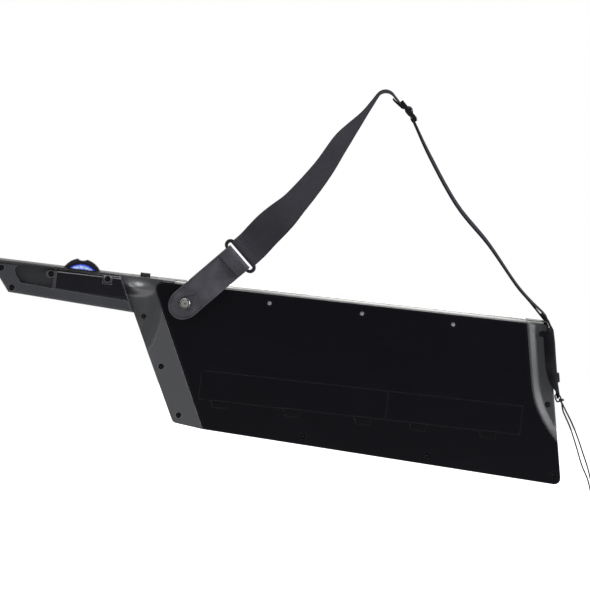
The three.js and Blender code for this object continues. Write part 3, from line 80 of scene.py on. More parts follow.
camera = bpy.data.objects.new("camera", bpy.data.cameras.new("camera"))
bpy.context.collection.objects.link(camera)
camera.data.sensor_fit = "HORIZONTAL"
camera.data.sensor_width = SENSOR
camera.data.lens = SENSOR * CAMERA_AWAY / PHOTO_WIDTH
camera.data.clip_end = CAMERA_REACH
toward = Vector((0, math.cos(CAMERA_LIFT), math.sin(CAMERA_LIFT)))
level_right = Vector((-1, 0, 0))
level_up = toward.cross(level_right)
right = level_right * math.cos(CAMERA_ROLL) + level_up * math.sin(CAMERA_ROLL)
up = toward.cross(right)
turned = Matrix((right, up, toward)).transposed().to_4x4()
camera.matrix_world = Matrix.Translation(CAMERA_TARGET + toward * CAMERA_AWAY) @ turned
bpy.context.scene.camera = camera
bpy.context.scene.view_settings.view_transform = "Standard"


def deselect():
    bpy.ops.object.select_all(action="DESELECT")


def fill(tree, node, **inputs):
    """Gives a node's inputs a value each, or a link from a socket or from a (node, output) pair."""
    for key, value in inputs.items():
        key = int(key[1:]) if key[0] == "_" else key.replace("_", " ")
        if isinstance(value, tuple) and hasattr(value[0], "outputs"):
            value = value[0].outputs[value[1]]
        if isinstance(value, bpy.types.NodeSocket):
            tree.links.new(value, node.inputs[key])
        else:
            node.inputs[key].default_value = value
    return node


def put(tree, kind, settings=None, **inputs):
    """A new shader node with its settings and inputs."""
    node = tree.nodes.new("ShaderNode" + kind)
    for key, value in (settings or {}).items():
        setattr(node, key, value)
    return fill(tree, node, **inputs)


def maths(tree, operation, *terms):
    """The given terms taken together, as a (node, output) pair."""
    return put(tree, "Math", {"operation": operation}, **{f"_{k}": term for k, term in enumerate(terms)}), 0


def graded(tree, value, start, end, low=0.0, high=1.0):
    """The value led from low at its start to high at its end, as a (node, output) pair."""
    return put(tree, "MapRange", Value=value, From_Min=start, From_Max=end, To_Min=low, To_Max=high), 0


def on_object(tree):
    return put(tree, "TexCoord"), "Object"


def finish_of(name, **plain):
    """A material whose shader has the given plain values, with its node tree and its shader."""
    material = bpy.data.materials.new(name)
    material.use_nodes = True
    tree = material.node_tree
    return material, tree, fill(tree, tree.nodes["Principled BSDF"], **plain)


def seen_as_white(tree):
    """One where the camera, a gloss or a glass looks straight at the surface, else zero."""
    path = put(tree, "LightPath")
    seen = maths(tree, "MAXIMUM", (path, "Is Camera Ray"), (path, "Is Glossy Ray"))
    return maths(tree, "MAXIMUM", seen, (path, "Is Transmission Ray"))


deselect()
bpy.ops.mesh.primitive_plane_add(size=2 * FLOOR_HALF, location=(0, 0, FLOOR_LEVEL))
floor = bpy.context.object
floor.name = "floor"
paint, tree, shader = finish_of("floor_paint", Base_Color=FLOOR_WHITE, Roughness=0.9, Emission_Color=WHITE)
away = put(tree, "VectorMath", {"operation": "LENGTH"}, _0=on_object(tree))
whiter = graded(tree, (away, "Value"), *FLOOR_FADE, *FLOOR_GLOW)
fill(tree, shader, Emission_Strength=maths(tree, "MULTIPLY", seen_as_white(tree), whiter))
floor.data.materials.append(paint)

world = bpy.data.worlds.new("studio")
world.use_nodes = True
bpy.context.scene.world = world
tree = world.node_tree
sky_level = graded(tree, seen_as_white(tree), 0.0, 1.0, SKY_LIGHT, 1.0)
fill(tree, tree.nodes["Background"], Color=WHITE, Strength=sky_level)

for name, (place, aim, width, watts) in LAMPS.items():
    lamp = bpy.data.objects.new(name, bpy.data.lights.new(name, "AREA"))
    lamp.data.shape = "SQUARE"
    lamp.data.size = width
    lamp.data.energy = watts
    lamp.rotation_euler = (Vector(place) - Vector(aim)).to_track_quat("Z", "Y").to_euler()
    lamp.location = place
    bpy.context.collection.objects.link(lamp)

# Lace.
# A limp leather lace tied through the eyelet under the strap's end tab: it makes one small loop and knot,
# and both strands hang free beside the end wall and out of the photograph.
MM = 0.001
CROWN = Vector((330, -25, 320))
BODY_DEPTH = 244
END_LEAN = 47
END_SLOPE = END_LEAN / BODY_DEPTH
END_PEG_Z = -0.3484 * BODY_DEPTH
END_UP = Vector((END_SLOPE, 0, 1)).normalized()
END_OUT = Vector((-1, 0, END_SLOPE)).normalized()
END_PEG = Vector((END_LEAN + END_SLOPE * END_PEG_Z, -33, END_PEG_Z))
EYELET_UP = -25.5
LEATHER_LIFT = 2.2
LEATHER_THICK = 3.0
LEATHER_MID = LEATHER_LIFT + LEATHER_THICK / 2
FOOT_LEAN = 1.4
LACE_THICK = 2.4
LACE_STEPS = 150
LACE_PAST = LEATHER_THICK / 2 + LACE_THICK / 2 + 0.25
LACE_DROP = 1.5
STRAND_OUTER = [
    (-8.6, 1, -14.1), (-19.8, 2, -31.5), (-31.7, 3, -53.4), (-41, 4, -73.4),
    (-54, 5, -102.3), (-66.5, 6, -143.4), (-75.5, 6, -191.4), (-79.5, 6, -247.4),
]
STRAND_INNER = [
    (-5.2, -1, -15.9), (-18.3, -2, -39), (-30.6, -3, -65.9), (-43.4, -3, -96.1),
    (-55.8, -3, -119.2), (-66.5, -3, -156.4), (-72, -3, -201.4), (-74, -3, -239.4),
]
KNOT_TURNS = 48
KNOT_SIZE = 0.8
STUB = [(-1.0, 0, 0.2), (-2.6, 0.2, 0.5), (-4.6, 0.2, 0.9)]
STUB_THICK = 1.3 * LACE_THICK
CURVE_STEPS = 16


def in_row(x, y, z):
    """A place on the instrument, in millimetres, as metres from the strap's crown."""
    return (Vector((x, y, z)) - CROWN) * MM


def on_end(up, out, along=0.0):
    """A place beside the end peg: up the end wall, out from it and along the instrument's thickness."""
    return END_PEG + END_UP * up + END_OUT * out + Vector((0, along, 0))


KNOT = on_end(EYELET_UP - 9.6, 10.4)


def from_knot(*places):
    return [KNOT + Vector(place) for place in places]


def length_of(points):
    return sum((b - a).length for a, b in zip(points, points[1:]))


def spaced(points, steps):
    """Evenly spaced points on one smooth curve through the given ones."""
    p = [Vector(q) for q in points]
    p = [p[0] * 2 - p[1], *p, p[-1] * 2 - p[-2]]
    fine = []
    for a, b, c, d in zip(p, p[1:], p[2:], p[3:]):
        ta = 0.0
        tb = ta + max((b - a).length, 1e-6) ** 0.5
        tc = tb + max((c - b).length, 1e-6) ** 0.5
        td = tc + max((d - c).length, 1e-6) ** 0.5
        for k in range(CURVE_STEPS):
            t = tb + (tc - tb) * k / CURVE_STEPS
            ab = a.lerp(b, (t - ta) / (tb - ta))
            bc = b.lerp(c, (t - tb) / (tc - tb))
            cd = c.lerp(d, (t - tc) / (td - tc))
            first = ab.lerp(bc, (t - ta) / (tc - ta))
            second = bc.lerp(cd, (t - tb) / (td - tb))
            fine.append(first.lerp(second, (t - tb) / (tc - tb)))
    fine.append(p[-2])
    reach = [0.0]
    for a, b in zip(fine, fine[1:]):
        reach.append(reach[-1] + (b - a).length)
    xyz = np.array(fine)
    at = np.linspace(0, reach[-1], steps + 1)
    return [Vector(q) for q in zip(*(np.interp(at, reach, xyz[:, k]) for k in range(3)))]


def only(piece):
    """Selects the piece by itself and makes it the active one."""
    deselect()
    piece.select_set(True)
    bpy.context.view_layer.objects.active = piece


def tube(name, places, thick, ring=False, swell=None):
    """A round tube along places in metres; swell gives each place its own share of the thickness."""
    data = bpy.data.curves.new(name, "CURVE")
    data.dimensions = "3D"
    data.bevel_depth = thick / 2 * MM
    data.bevel_resolution = 3
    data.use_fill_caps = True
    line = data.splines.new("POLY")
    line.points.add(len(places) - 1)
    line.use_cyclic_u = ring
    for point, place, share in zip(line.points, places, swell or [1] * len(places)):
        point.co = (*place, 1)
        point.radius = share
    piece = bpy.data.objects.new(name, data)
    bpy.context.collection.objects.link(piece)
    only(piece)
    bpy.ops.object.convert(target="MESH")
    piece = bpy.context.object
    piece.name = piece.data.name = name
    return piece


eyelet = on_end(EYELET_UP, LEATHER_MID + FOOT_LEAN)
over_leather = on_end(EYELET_UP - LACE_DROP, LEATHER_MID + FOOT_LEAN + LACE_PAST)
under_leather = on_end(EYELET_UP - LACE_DROP, LEATHER_MID + FOOT_LEAN - LACE_PAST)
outer_side = [eyelet, over_leather, *from_knot((0.9, 0.6, 4.2), (0, 0, 0), *STRAND_OUTER)]
inner_side = [
    eyelet, under_leather, *from_knot((7.9, -0.4, 0.8), (4.9, -0.4, -3.1), (0.3, -0.2, -0.6), *STRAND_INNER),
]
strands = []
for name, places in (("lace_outer", outer_side), ("lace_inner", inner_side)):
    path = [in_row(*place) for place in spaced(places, LACE_STEPS)]
    strands.append((tube(name, path, LACE_THICK), path, length_of(path)))
knot_line = []
for k in range(KNOT_TURNS):
    t = 2 * math.pi * k / KNOT_TURNS
    turn = Vector((math.sin(t) + 2 * math.sin(2 * t), -math.sin(3 * t), math.cos(t) - 2 * math.cos(2 * t)))
    knot_line.append(in_row(*(KNOT + turn * KNOT_SIZE)))
lace_knot = tube("lace_knot", knot_line, LACE_THICK, ring=True)
lace_stub = tube("lace_stub", [in_row(*place) for place in spaced(from_knot(*STUB), 6)], STUB_THICK)
for piece in (strands[0][0], strands[1][0], lace_knot, lace_stub):
    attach(piece, "case")
    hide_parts("strap_lace")

SOCKET_KINDS = {3: "NodeSocketVector", 4: "NodeSocketColor"}
SURFACE = {"Colour": "NodeSocketColor", "Roughness": "NodeSocketFloat", "Height": "NodeSocketFloat"}
DARK = (0.05, 0.05, 0.05, 1)
LIGHTER = (0.1, 0.1, 0.1, 1)


def effect(name, inputs, outputs):
    """An empty node group with its named sockets, and its two end nodes."""
    group = bpy.data.node_groups.new(name, "ShaderNodeTree")
    for label, value in inputs.items():
        kind = SOCKET_KINDS[len(value)] if isinstance(value, tuple) else "NodeSocketFloat"
        socket = group.interface.new_socket(name=label, in_out="INPUT", socket_type=kind)
        socket.default_value = value
    for label, kind in outputs.items():
        group.interface.new_socket(name=label, in_out="OUTPUT", socket_type=kind)
    return group, group.nodes.new("NodeGroupInput"), group.nodes.new("NodeGroupOutput")


def use(tree, group, **inputs):
    """The group in a material, with its own values."""
    node = tree.nodes.new("ShaderNodeGroup")
    node.node_tree = group
    return fill(tree, node, **inputs)


def noise(tree, place, scale, detail, roughness=0.5):
    """A cloudy noise over the places, as a (node, output) pair."""
    return put(tree, "TexNoise", Vector=place, Scale=scale, Detail=detail, Roughness=roughness), "Fac"


def blend(tree, share, one, other):
    """One colour led into another by a share, as a (node, output) pair."""
    return put(tree, "Mix", {"data_type": "RGBA"}, _0=share, _6=one, _7=other), 2


def shaded(tree, colour, share):
    """The colour made darker or lighter by a share, as a (node, output) pair."""
    return put(tree, "VectorMath", {"operation": "SCALE"}, _0=colour, Scale=share), 0


def rounded_edge(tree, radius):
    """The normal rounded over the radius, and its agreement with the true one, which is less near an edge."""
    rounded = put(tree, "Bevel", {"samples": 6}, Radius=radius)
    facing = (put(tree, "NewGeometry"), "True Normal")
    agreement = put(tree, "VectorMath", {"operation": "DOT_PRODUCT"}, _0=(rounded, 0), _1=facing)
    return (rounded, 0), (agreement, "Value")


def feed(tree, shader, surface, depth, distance=0.001):
    """Leads a group's colour, roughness, height and any edge normal to the shader."""
    bump = put(tree, "Bump", Strength=depth, Distance=distance, Height=(surface, "Height"))
    if "Normal" in surface.outputs:
        fill(tree, bump, Normal=(surface, "Normal"))
    colour, roughness = (surface, "Colour"), (surface, "Roughness")
    fill(tree, shader, Base_Color=colour, Roughness=roughness, Normal=(bump, "Normal"))


def dress(names, material):
    """Gives the material to CAD nodes or new pieces."""
    for item in names:
        piece = bpy.data.objects[item] if isinstance(item, str) else item
        piece.data.materials.clear()
        piece.data.materials.append(material)


hide_surface, hide_in, hide_out = effect(
    "hide_surface",
    {"Colour": DARK, "Worn Colour": LIGHTER, "Pores": 900.0, "Roughness": 0.5, "Seam": 0.0006},
    SURFACE,
)
place = on_object(hide_surface)
pebble = put(hide_surface, "TexVoronoi", {"feature": "SMOOTH_F1"}, Vector=place, Scale=(hide_in, "Pores"))
creases = noise(hide_surface, place, 160.0, 6.0, 0.6)
patches = noise(hide_surface, place, 38.0, 3.0)
worn = graded(hide_surface, patches, 0.42, 0.72)
tone = blend(hide_surface, worn, (hide_in, "Colour"), (hide_in, "Worn Colour"))
# Painted shade: the colour darkens along grooves, folds and edges, where the rounded normal leaves the true
# one.
agreement = rounded_edge(hide_surface, (hide_in, "Seam"))[1]
groove_shade = graded(hide_surface, agreement, 0.86, 0.985, 0.2, 1.0)
fill(
    hide_surface, hide_out, Colour=shaded(hide_surface, tone, groove_shade),
    Roughness=maths(hide_surface, "MULTIPLY_ADD", creases, 0.25, (hide_in, "Roughness")),
    Height=maths(hide_surface, "MULTIPLY_ADD", creases, 0.7, (pebble, "Distance")),
)


def hide(name, colour, worn, *, pores, roughness, depth, specular=0.12):
    """Leather of one colour and grain."""
    material, tree, shader = finish_of(name, Specular_IOR_Level=specular)
    surface = use(tree, hide_surface, Colour=colour, Worn_Colour=worn, Pores=pores, Roughness=roughness)
    feed(tree, shader, surface, depth)
    return material


lace_hide = hide(
    "lace_hide", (0.011, 0.011, 0.012, 1), (0.03, 0.03, 0.031, 1), pores=1500.0, roughness=0.5, depth=0.35,
)
dress([strands[0][0], strands[1][0], lace_knot, lace_stub], lace_hide)

# Rear cover and doors.
# A deep glossy tray, screwed to the front from behind, and its two bay doors, all moulded in black ABS.
# The gloss carries faint wiping marks; the sharp edges carry a thin painted highlight, a lighter line.
moulded, moulded_in, moulded_out = effect(
    "moulded_plastic",
    {
        "Colour": DARK, "Rubbed Colour": LIGHTER, "Edge Colour": LIGHTER,
        "Grain": 2200.0, "Roughness": 0.4, "Wiping": 0.1, "Edge": 0.0008,
    },
    {**SURFACE, "Normal": "NodeSocketVector"},
)
place = on_object(moulded)
grain = noise(moulded, place, (moulded_in, "Grain"), 2.0, 0.6)
rubbing = noise(moulded, place, 9.0, 5.0, 0.62)
stretch = put(moulded, "Mapping", Vector=place, Rotation=(0, 0.7, 0), Scale=(1, 1, 9))
wiping = noise(moulded, (stretch, "Vector"), 16.0, 6.0, 0.7)
rubbed = graded(moulded, rubbing, 0.5, 0.75)
tone = blend(moulded, rubbed, (moulded_in, "Colour"), (moulded_in, "Rubbed Colour"))
marks = graded(moulded, wiping, 0.42, 0.8)
rounded, agreement = rounded_edge(moulded, (moulded_in, "Edge"))
# Painted highlight: near a sharp edge the colour turns to the lighter edge colour.
on_painted_edge = graded(moulded, agreement, 0.995, 0.93)
fill(
    moulded, moulded_out, Colour=blend(moulded, on_painted_edge, tone, (moulded_in, "Edge Colour")),
    Roughness=maths(moulded, "MULTIPLY_ADD", marks, (moulded_in, "Wiping"), (moulded_in, "Roughness")),
    Height=grain, Normal=rounded,
)


def plastic(
    name, colour, rubbed, grain_size, *, roughness, wiping_marks, depth, specular,
    edge_colour=None, edge=0.0008,
):
    """A moulded plastic of one colour, gloss and grain, its sharp edges rounded and given a painted
    highlight.
    """
    material, tree, shader = finish_of(name, Specular_IOR_Level=specular)
    surface = use(
        tree, moulded, Colour=colour, Rubbed_Colour=rubbed, Grain=grain_size,
        Roughness=roughness, Wiping=wiping_marks, Edge=edge, Edge_Colour=edge_colour or rubbed,
    )
    feed(tree, shader, surface, depth, 0.0004)
    return material


case_gloss = plastic(
    "case_gloss", (0.0024, 0.0024, 0.0038, 1), (0.0034, 0.0034, 0.005, 1), 1400.0,
    roughness=0.1, wiping_marks=0.14, depth=0.03, specular=0.04, edge_colour=(0.03, 0.03, 0.034, 1),
)
dress(["rear_cover", "connector_door", "battery_door"], case_gloss)

# Front shell.
# One glossy black ABS moulding for the front of the body and of the neck.
# Its upper walls are painted darker than its back, a painted shade on what faces up; their gloss is lowered.
TOP_SHADE = 0.12
TOP_FROM = (0.4, 0.8)


def shader_of(material):
    tree = material.node_tree
    return tree, tree.nodes["Principled BSDF"]


def feeding(shader, socket):
    """The output that now feeds an input of the shader."""
    return shader.inputs[socket].links[0].from_socket


def repaint(tree, shader, group):
    """Leads the shader's colour through a group that changes it."""
    painted = use(tree, group, Colour=feeding(shader, "Base Color"))
    fill(tree, shader, Base_Color=(painted, "Colour"))


def top_shade_share(tree):
    """One on walls and undersides, and the painted-shade share on what faces up."""
    upward = put(tree, "SeparateXYZ", _0=(put(tree, "NewGeometry"), "True Normal"))
    return graded(tree, (upward, "Z"), *TOP_FROM, 1.0, TOP_SHADE)


# Painted shade: faces that look up are darkened.
top_shade_paint, top_in, top_out = effect("dull_top", {"Colour": DARK}, {"Colour": "NodeSocketColor"})
fill(top_shade_paint, top_out, Colour=shaded(top_shade_paint, (top_in, "Colour"), top_shade_share(top_shade_paint)))


def dull_top(material):
    """Paints shade on what faces up by darkening its colour, and lowers its gloss there."""
    tree, shader = shader_of(material)
    repaint(tree, shader, top_shade_paint)
    specular = shader.inputs["Specular IOR Level"].default_value
    fill(tree, shader, Specular_IOR_Level=maths(tree, "MULTIPLY", top_shade_share(tree), specular))


deck_gloss = plastic(
    "deck_gloss", (0.006, 0.006, 0.0076, 1), (0.008, 0.008, 0.0096, 1), 1600.0,
    roughness=0.16, wiping_marks=0.15, depth=0.06, specular=0.08,
)
dull_top(deck_gloss)
dress(["front_shell"], deck_gloss)

# Neck shell and sustain bar.
# The neck's back is a satin charcoal moulding, and the bar a glossy black panel hung in its finger channel.
# Both carry a painted highlight, a light strip along the top, under a rim painted dark.
RIM_LOW = in_row(0, 0, -2.6).z
STRIP_LOW = in_row(0, 0, -6.4).z
STRIP_START = in_row(699, 0, 0).x
STRIP_END = in_row(796, 0, 0).x
HIGHLIGHT_STRIP_TONE = (0.24, 0.24, 0.26, 1)
RIM_SHARE = 0.15
SOFT = 0.0003
# Painted highlight: a light strip where the top edge would catch light, under a rim painted dark.
highlight_strip_paint, strip_in, strip_out = effect("rim_and_strip", {"Colour": DARK}, {"Colour": "NodeSocketColor"})
spot = put(highlight_strip_paint, "SeparateXYZ", _0=on_object(highlight_strip_paint))
over_low = graded(highlight_strip_paint, (spot, "Z"), STRIP_LOW - SOFT, STRIP_LOW + SOFT)
under_rim = graded(highlight_strip_paint, (spot, "Z"), RIM_LOW + SOFT, RIM_LOW - SOFT)
past_start = graded(highlight_strip_paint, (spot, "X"), STRIP_START - SOFT, STRIP_START + SOFT)
before_end = graded(highlight_strip_paint, (spot, "X"), STRIP_END + SOFT, STRIP_END - SOFT)
in_height = maths(highlight_strip_paint, "MULTIPLY", over_low, under_rim)
in_length = maths(highlight_strip_paint, "MULTIPLY", past_start, before_end)
in_strip = maths(highlight_strip_paint, "MULTIPLY", in_height, in_length)
painted_highlight_strip = blend(highlight_strip_paint, in_strip, (strip_in, "Colour"), HIGHLIGHT_STRIP_TONE)
rim_dark = graded(highlight_strip_paint, under_rim, 0.0, 1.0, RIM_SHARE, 1.0)
fill(highlight_strip_paint, strip_out, Colour=shaded(highlight_strip_paint, painted_highlight_strip, rim_dark))

neck_charcoal = plastic(
    "neck_charcoal", (0.028, 0.029, 0.033, 1), (0.036, 0.037, 0.041, 1), 2400.0,
    roughness=0.36, wiping_marks=0.1, depth=0.14, specular=0.14, edge_colour=(0.14, 0.14, 0.15, 1),
)
repaint(*shader_of(neck_charcoal), highlight_strip_paint)
# Painted shade on what faces up.
dull_top(neck_charcoal)
dress(["neck_rear_shell"], neck_charcoal)
bar_gloss = plastic(
    "bar_gloss", (0.004, 0.004, 0.006, 1), (0.006, 0.006, 0.008, 1), 1400.0, roughness=0.14,
    wiping_marks=0.14, depth=0.03, specular=0.09, edge_colour=(0.12, 0.12, 0.13, 1), edge=0.0014,
)
repaint(*shader_of(bar_gloss), highlight_strip_paint)
dress(["sustain_bar"], bar_gloss)

# End trims.
# Two satin mouldings with a fine grain, screwed on from behind. The charcoal band is polished by hands where
# it swells to the neck, and painted darker in its hollow, a painted shade. The grey trim has a scoop with
# soft edges.
SWELL_MIDDLE = in_row(672, 0, -18)
SWELL_SIZE = (0.027, 1.0, 0.0135)
SWELL_RISE = 0.0075
POLISH = 0.5
HOLLOW_SHADE_SHARE = 0.62
band_charcoal = plastic(
    "band_charcoal", (0.05, 0.051, 0.055, 1), (0.06, 0.061, 0.065, 1), 2600.0,
    roughness=0.3, wiping_marks=0.1, depth=0.12, specular=0.14, edge_colour=(0.2, 0.2, 0.21, 1),
)
# Painted shade on what faces up.
dull_top(band_charcoal)
tree, shader = shader_of(band_charcoal)
in_swell = put(
    tree, "Mapping", {"vector_type": "TEXTURE"}, Vector=on_object(tree),
    Location=tuple(SWELL_MIDDLE), Scale=SWELL_SIZE,
)
swell_plane = put(tree, "VectorMath", {"operation": "MULTIPLY"}, _0=(in_swell, 0), _1=(1, 0, 1))
swell_away = (put(tree, "VectorMath", {"operation": "LENGTH"}, _0=(swell_plane, 0)), "Value")
swell = put(
    tree, "MapRange", {"interpolation_type": "SMOOTHSTEP"}, Value=swell_away, From_Min=1.0, From_Max=0.0,
)
swell_bump = put(
    tree, "Bump", Strength=1.0, Distance=SWELL_RISE, Height=(swell, 0), Normal=feeding(shader, "Normal"),
)
polish = graded(tree, swell_away, 1.1, 0.8, 0.0, POLISH)
slope = put(tree, "SeparateXYZ", _0=(put(tree, "NewGeometry"), "True Normal"))
# Painted shade: the colour is darkened where the surface turns away from the back, in the hollow.
hollow_painted_shade = graded(tree, (slope, "Y"), 0.998, 0.985, 1.0, HOLLOW_SHADE_SHARE)
fill(
    tree, shader, Normal=(swell_bump, 0), Base_Color=shaded(tree, feeding(shader, "Base Color"), hollow_painted_shade),
    Specular_IOR_Level=maths(tree, "ADD", feeding(shader, "Specular IOR Level"), polish),
)
dress(["left_end_trim"], band_charcoal)
trim_grey = plastic(
    "trim_grey", (0.03, 0.031, 0.034, 1), (0.036, 0.037, 0.04, 1), 2600.0,
    roughness=0.3, wiping_marks=0.1, depth=0.12, specular=0.14, edge=0.006,
)
dress(["right_end_trim"], trim_grey)

# Key chassis, circuit board and pads.
# The chassis is a plain dark moulding; the board is green laminate with copper tracks under its varnish.
# The pads are one grey translucent rubber moulding.
chassis_black = plastic(
    "chassis_black", (0.02, 0.021, 0.024, 1), (0.026, 0.027, 0.03, 1), 1800.0,
    roughness=0.5, wiping_marks=0.1, depth=0.2, specular=0.4,
)
dress(["key_chassis"], chassis_black)

board_green, tree, shader = finish_of("board_green", Roughness=0.35)
flat_board = put(tree, "Mapping", Vector=on_object(tree), Rotation=(math.pi / 2, 0, 0))
lanes = put(
    tree, "TexBrick", {"offset": 0.37}, Vector=(flat_board, "Vector"), Scale=90.0, Mortar_Size=0.09,
    Color1=(0.006, 0.05, 0.018, 1), Color2=(0.008, 0.062, 0.022, 1), Mortar=(0.02, 0.11, 0.03, 1),
)
track_rise = put(tree, "Bump", Strength=0.3, Distance=0.0002, Height=(lanes, "Fac"))
fill(tree, shader, Base_Color=(lanes, "Color"), Normal=(track_rise, "Normal"))
dress(["circuit_board"], board_green)

pad_rubber = plastic(
    "pad_rubber", (0.2, 0.205, 0.215, 1), (0.24, 0.245, 0.255, 1), 1100.0,
    roughness=0.62, wiping_marks=0.12, depth=0.3, specular=0.35,
)
fill(*shader_of(pad_rubber), Subsurface_Weight=0.15, Subsurface_Radius=(0.002, 0.002, 0.002))
dress(["pad_mat"], pad_rubber)

# Keys.
# 22 white keys in ivory-white plastic with a soft gloss and 15 black ones with a fine matt grain.
# Each hooks over the chassis bead at its tail. From behind its lip shows over a white bead on the cover.
BEAD_DEEP = 1.8
BEAD_TALL = 2.5
BEAD_Y = -18.4
BEAD_ROUND = 0.7
BEAD_START = 54
BEAD_END = 688
COVER_TOP = -3.2
SMOOTH_UNDER = 35
FACING = 0.9


def edit(piece):
    only(piece)
    bpy.ops.object.mode_set(mode="EDIT")
    bpy.ops.mesh.select_all(action="DESELECT")


def leave():
    bpy.ops.object.mode_set(mode="OBJECT")


def choose(kind, test):
    """In edit mode, selects the faces, edges or corners whose middle and normal or run pass the test."""
    bpy.ops.mesh.select_all(action="DESELECT")
    bpy.ops.mesh.select_mode(type=kind)
    mesh = bmesh.from_edit_mesh(bpy.context.object.data)
    mesh.normal_update()
    if kind == "FACE":
        for face in mesh.faces:
            face.select_set(test(face.calc_center_median(), face.normal))
    elif kind == "EDGE":
        for line in mesh.edges:
            start, end = (corner.co for corner in line.verts)
            line.select_set(test((start + end) / 2, (end - start).normalized()))
    else:
        for corner in mesh.verts:
            corner.select_set(test(corner.co, corner.normal))
    mesh.select_flush_mode()
    bmesh.update_edit_mesh(bpy.context.object.data)


def smooth(piece, under=SMOOTH_UNDER):
    """Shades smoothly over edges under the given angle."""
    only(piece)
    bpy.ops.object.shade_smooth_by_angle(angle=math.radians(under))


def settle(piece, matrix):
    """Puts the finished piece's place into its mesh."""
    piece.data.transform(matrix @ piece.matrix_basis)
    piece.matrix_basis = Matrix.Identity(4)
    piece.data.update()


ivory = plastic(
    "key_ivory", (0.82, 0.82, 0.795, 1), (0.86, 0.86, 0.84, 1), 900.0,
    roughness=0.24, wiping_marks=0.1, depth=0.05, specular=0.5,
)
ebony = plastic(
    "key_ebony", (0.01, 0.01, 0.011, 1), (0.016, 0.016, 0.017, 1), 2400.0,
    roughness=0.38, wiping_marks=0.16, depth=0.25, specular=0.4,
)
key_nodes = sorted(n.name for n in bpy.data.objects if n.name.startswith("key_") and n.name != "key_chassis")
dress([n for n in key_nodes if not n.endswith("_sharp")], ivory)
dress([n for n in key_nodes if n.endswith("_sharp")], ebony)

deselect()
bpy.ops.mesh.primitive_cube_add(
    size=1, location=in_row((BEAD_START + BEAD_END) / 2, BEAD_Y, COVER_TOP + BEAD_TALL / 2),
    scale=((BEAD_END - BEAD_START) * MM, BEAD_DEEP * MM, BEAD_TALL * MM),
)
bead = bpy.context.object
bead.name = bead.data.name = "key_bed_bead"
settle(bead, Matrix.Identity(4))
bead_middle = in_row(0, 0, COVER_TOP + BEAD_TALL / 2).z
edit(bead)
choose("EDGE", lambda middle, run: middle.z > bead_middle and abs(run.x) > FACING)
bpy.ops.mesh.bevel(offset=BEAD_ROUND * MM, segments=4)
leave()
smooth(bead)
dress([bead], ivory)
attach(bead, "case")

# Pitch wheel.
# The thumb wheel is smoky plastic with a black rim, and turns in a slot of the neck.
# Lamps in the neck light its web blue, brightest a little inside the rim.
WHEEL_MIDDLE = in_row(760, -30, -15.4)
WHEEL_FLATTENING = (1.0, 0.0, 1.13)
WEB_FROM = 0.012
RIM_FROM = 0.0262
RIM_TO = 0.0272
WHEEL_RING = [
    (0.0, (0.004, 0.006, 0.05, 1)), (0.2, (0.03, 0.05, 0.6, 1)), (0.42, (0.2, 0.3, 0.9, 1)),
    (0.62, (0.55, 0.68, 1, 1)), (0.76, (0.3, 0.42, 0.95, 1)), (0.88, (0.03, 0.05, 0.7, 1)),
    (0.97, (0.01, 0.02, 0.12, 1)), (1.0, (0.0, 0.0, 0.0, 1)),
]
SMOKE = (0.008, 0.012, 0.08, 1)
RIM_BLACK = (0.012, 0.012, 0.016, 1)
away_from, away_in, away_out = effect(
    "away_from_middle",
    {"Middle": (0.0, 0.0, 0.0), "Flattening": (1.0, 0.0, 1.0)},
    {"Distance": "NodeSocketFloat"},
)
place = on_object(away_from)
centred = put(away_from, "VectorMath", {"operation": "SUBTRACT"}, _0=place, _1=(away_in, "Middle"))
flat = put(away_from, "VectorMath", {"operation": "MULTIPLY"}, _0=(centred, 0), _1=(away_in, "Flattening"))
away = put(away_from, "VectorMath", {"operation": "LENGTH"}, _0=(flat, 0))
fill(away_from, away_out, Distance=(away, "Value"))


def in_rings(tree, share, rings):
    """A colour ramp over a share of a radius, from its first (share, colour) stop to its last."""
    ramp = put(tree, "ValToRGB", Fac=share)
    stops = ramp.color_ramp.elements
    stops[0].position, stops[0].color = rings[0]
    stops[1].position, stops[1].color = rings[-1]
    for position, colour in rings[1:-1]:
        stops.new(position).color = colour
    return ramp, "Color"


wheel_glow, tree, shader = finish_of(
    "wheel_glow", Roughness=0.3, Specular_IOR_Level=0.1, Emission_Strength=1.0,
)
radius = (use(tree, away_from, Middle=tuple(WHEEL_MIDDLE), Flattening=WHEEL_FLATTENING), "Distance")
ring = in_rings(tree, graded(tree, radius, WEB_FROM, RIM_TO), WHEEL_RING)
speck = graded(tree, noise(tree, on_object(tree), 420.0, 3.0), 0.38, 0.62, 0.45, 1.15)
smoke = blend(tree, graded(tree, radius, RIM_FROM, RIM_TO), SMOKE, RIM_BLACK)
fill(tree, shader, Emission_Color=shaded(tree, ring, speck), Base_Color=smoke)
dress(["pitch_wheel"], wheel_glow)

# Slider and octave buttons.
# The slider's cap is a matt black moulding, and the two buttons are grey ones.
control_black = plastic(
    "control_black", (0.014, 0.014, 0.015, 1), (0.02, 0.02, 0.021, 1), 2000.0,
    roughness=0.42, wiping_marks=0.12, depth=0.25, specular=0.4,
)
dress(["volume_slider"], control_black)
button_grey = plastic(
    "button_grey", (0.05, 0.051, 0.054, 1), (0.06, 0.061, 0.064, 1), 2000.0,
    roughness=0.5, wiping_marks=0.1, depth=0.25, specular=0.4,
)
dress(["octave_up_button", "octave_down_button"], button_grey)

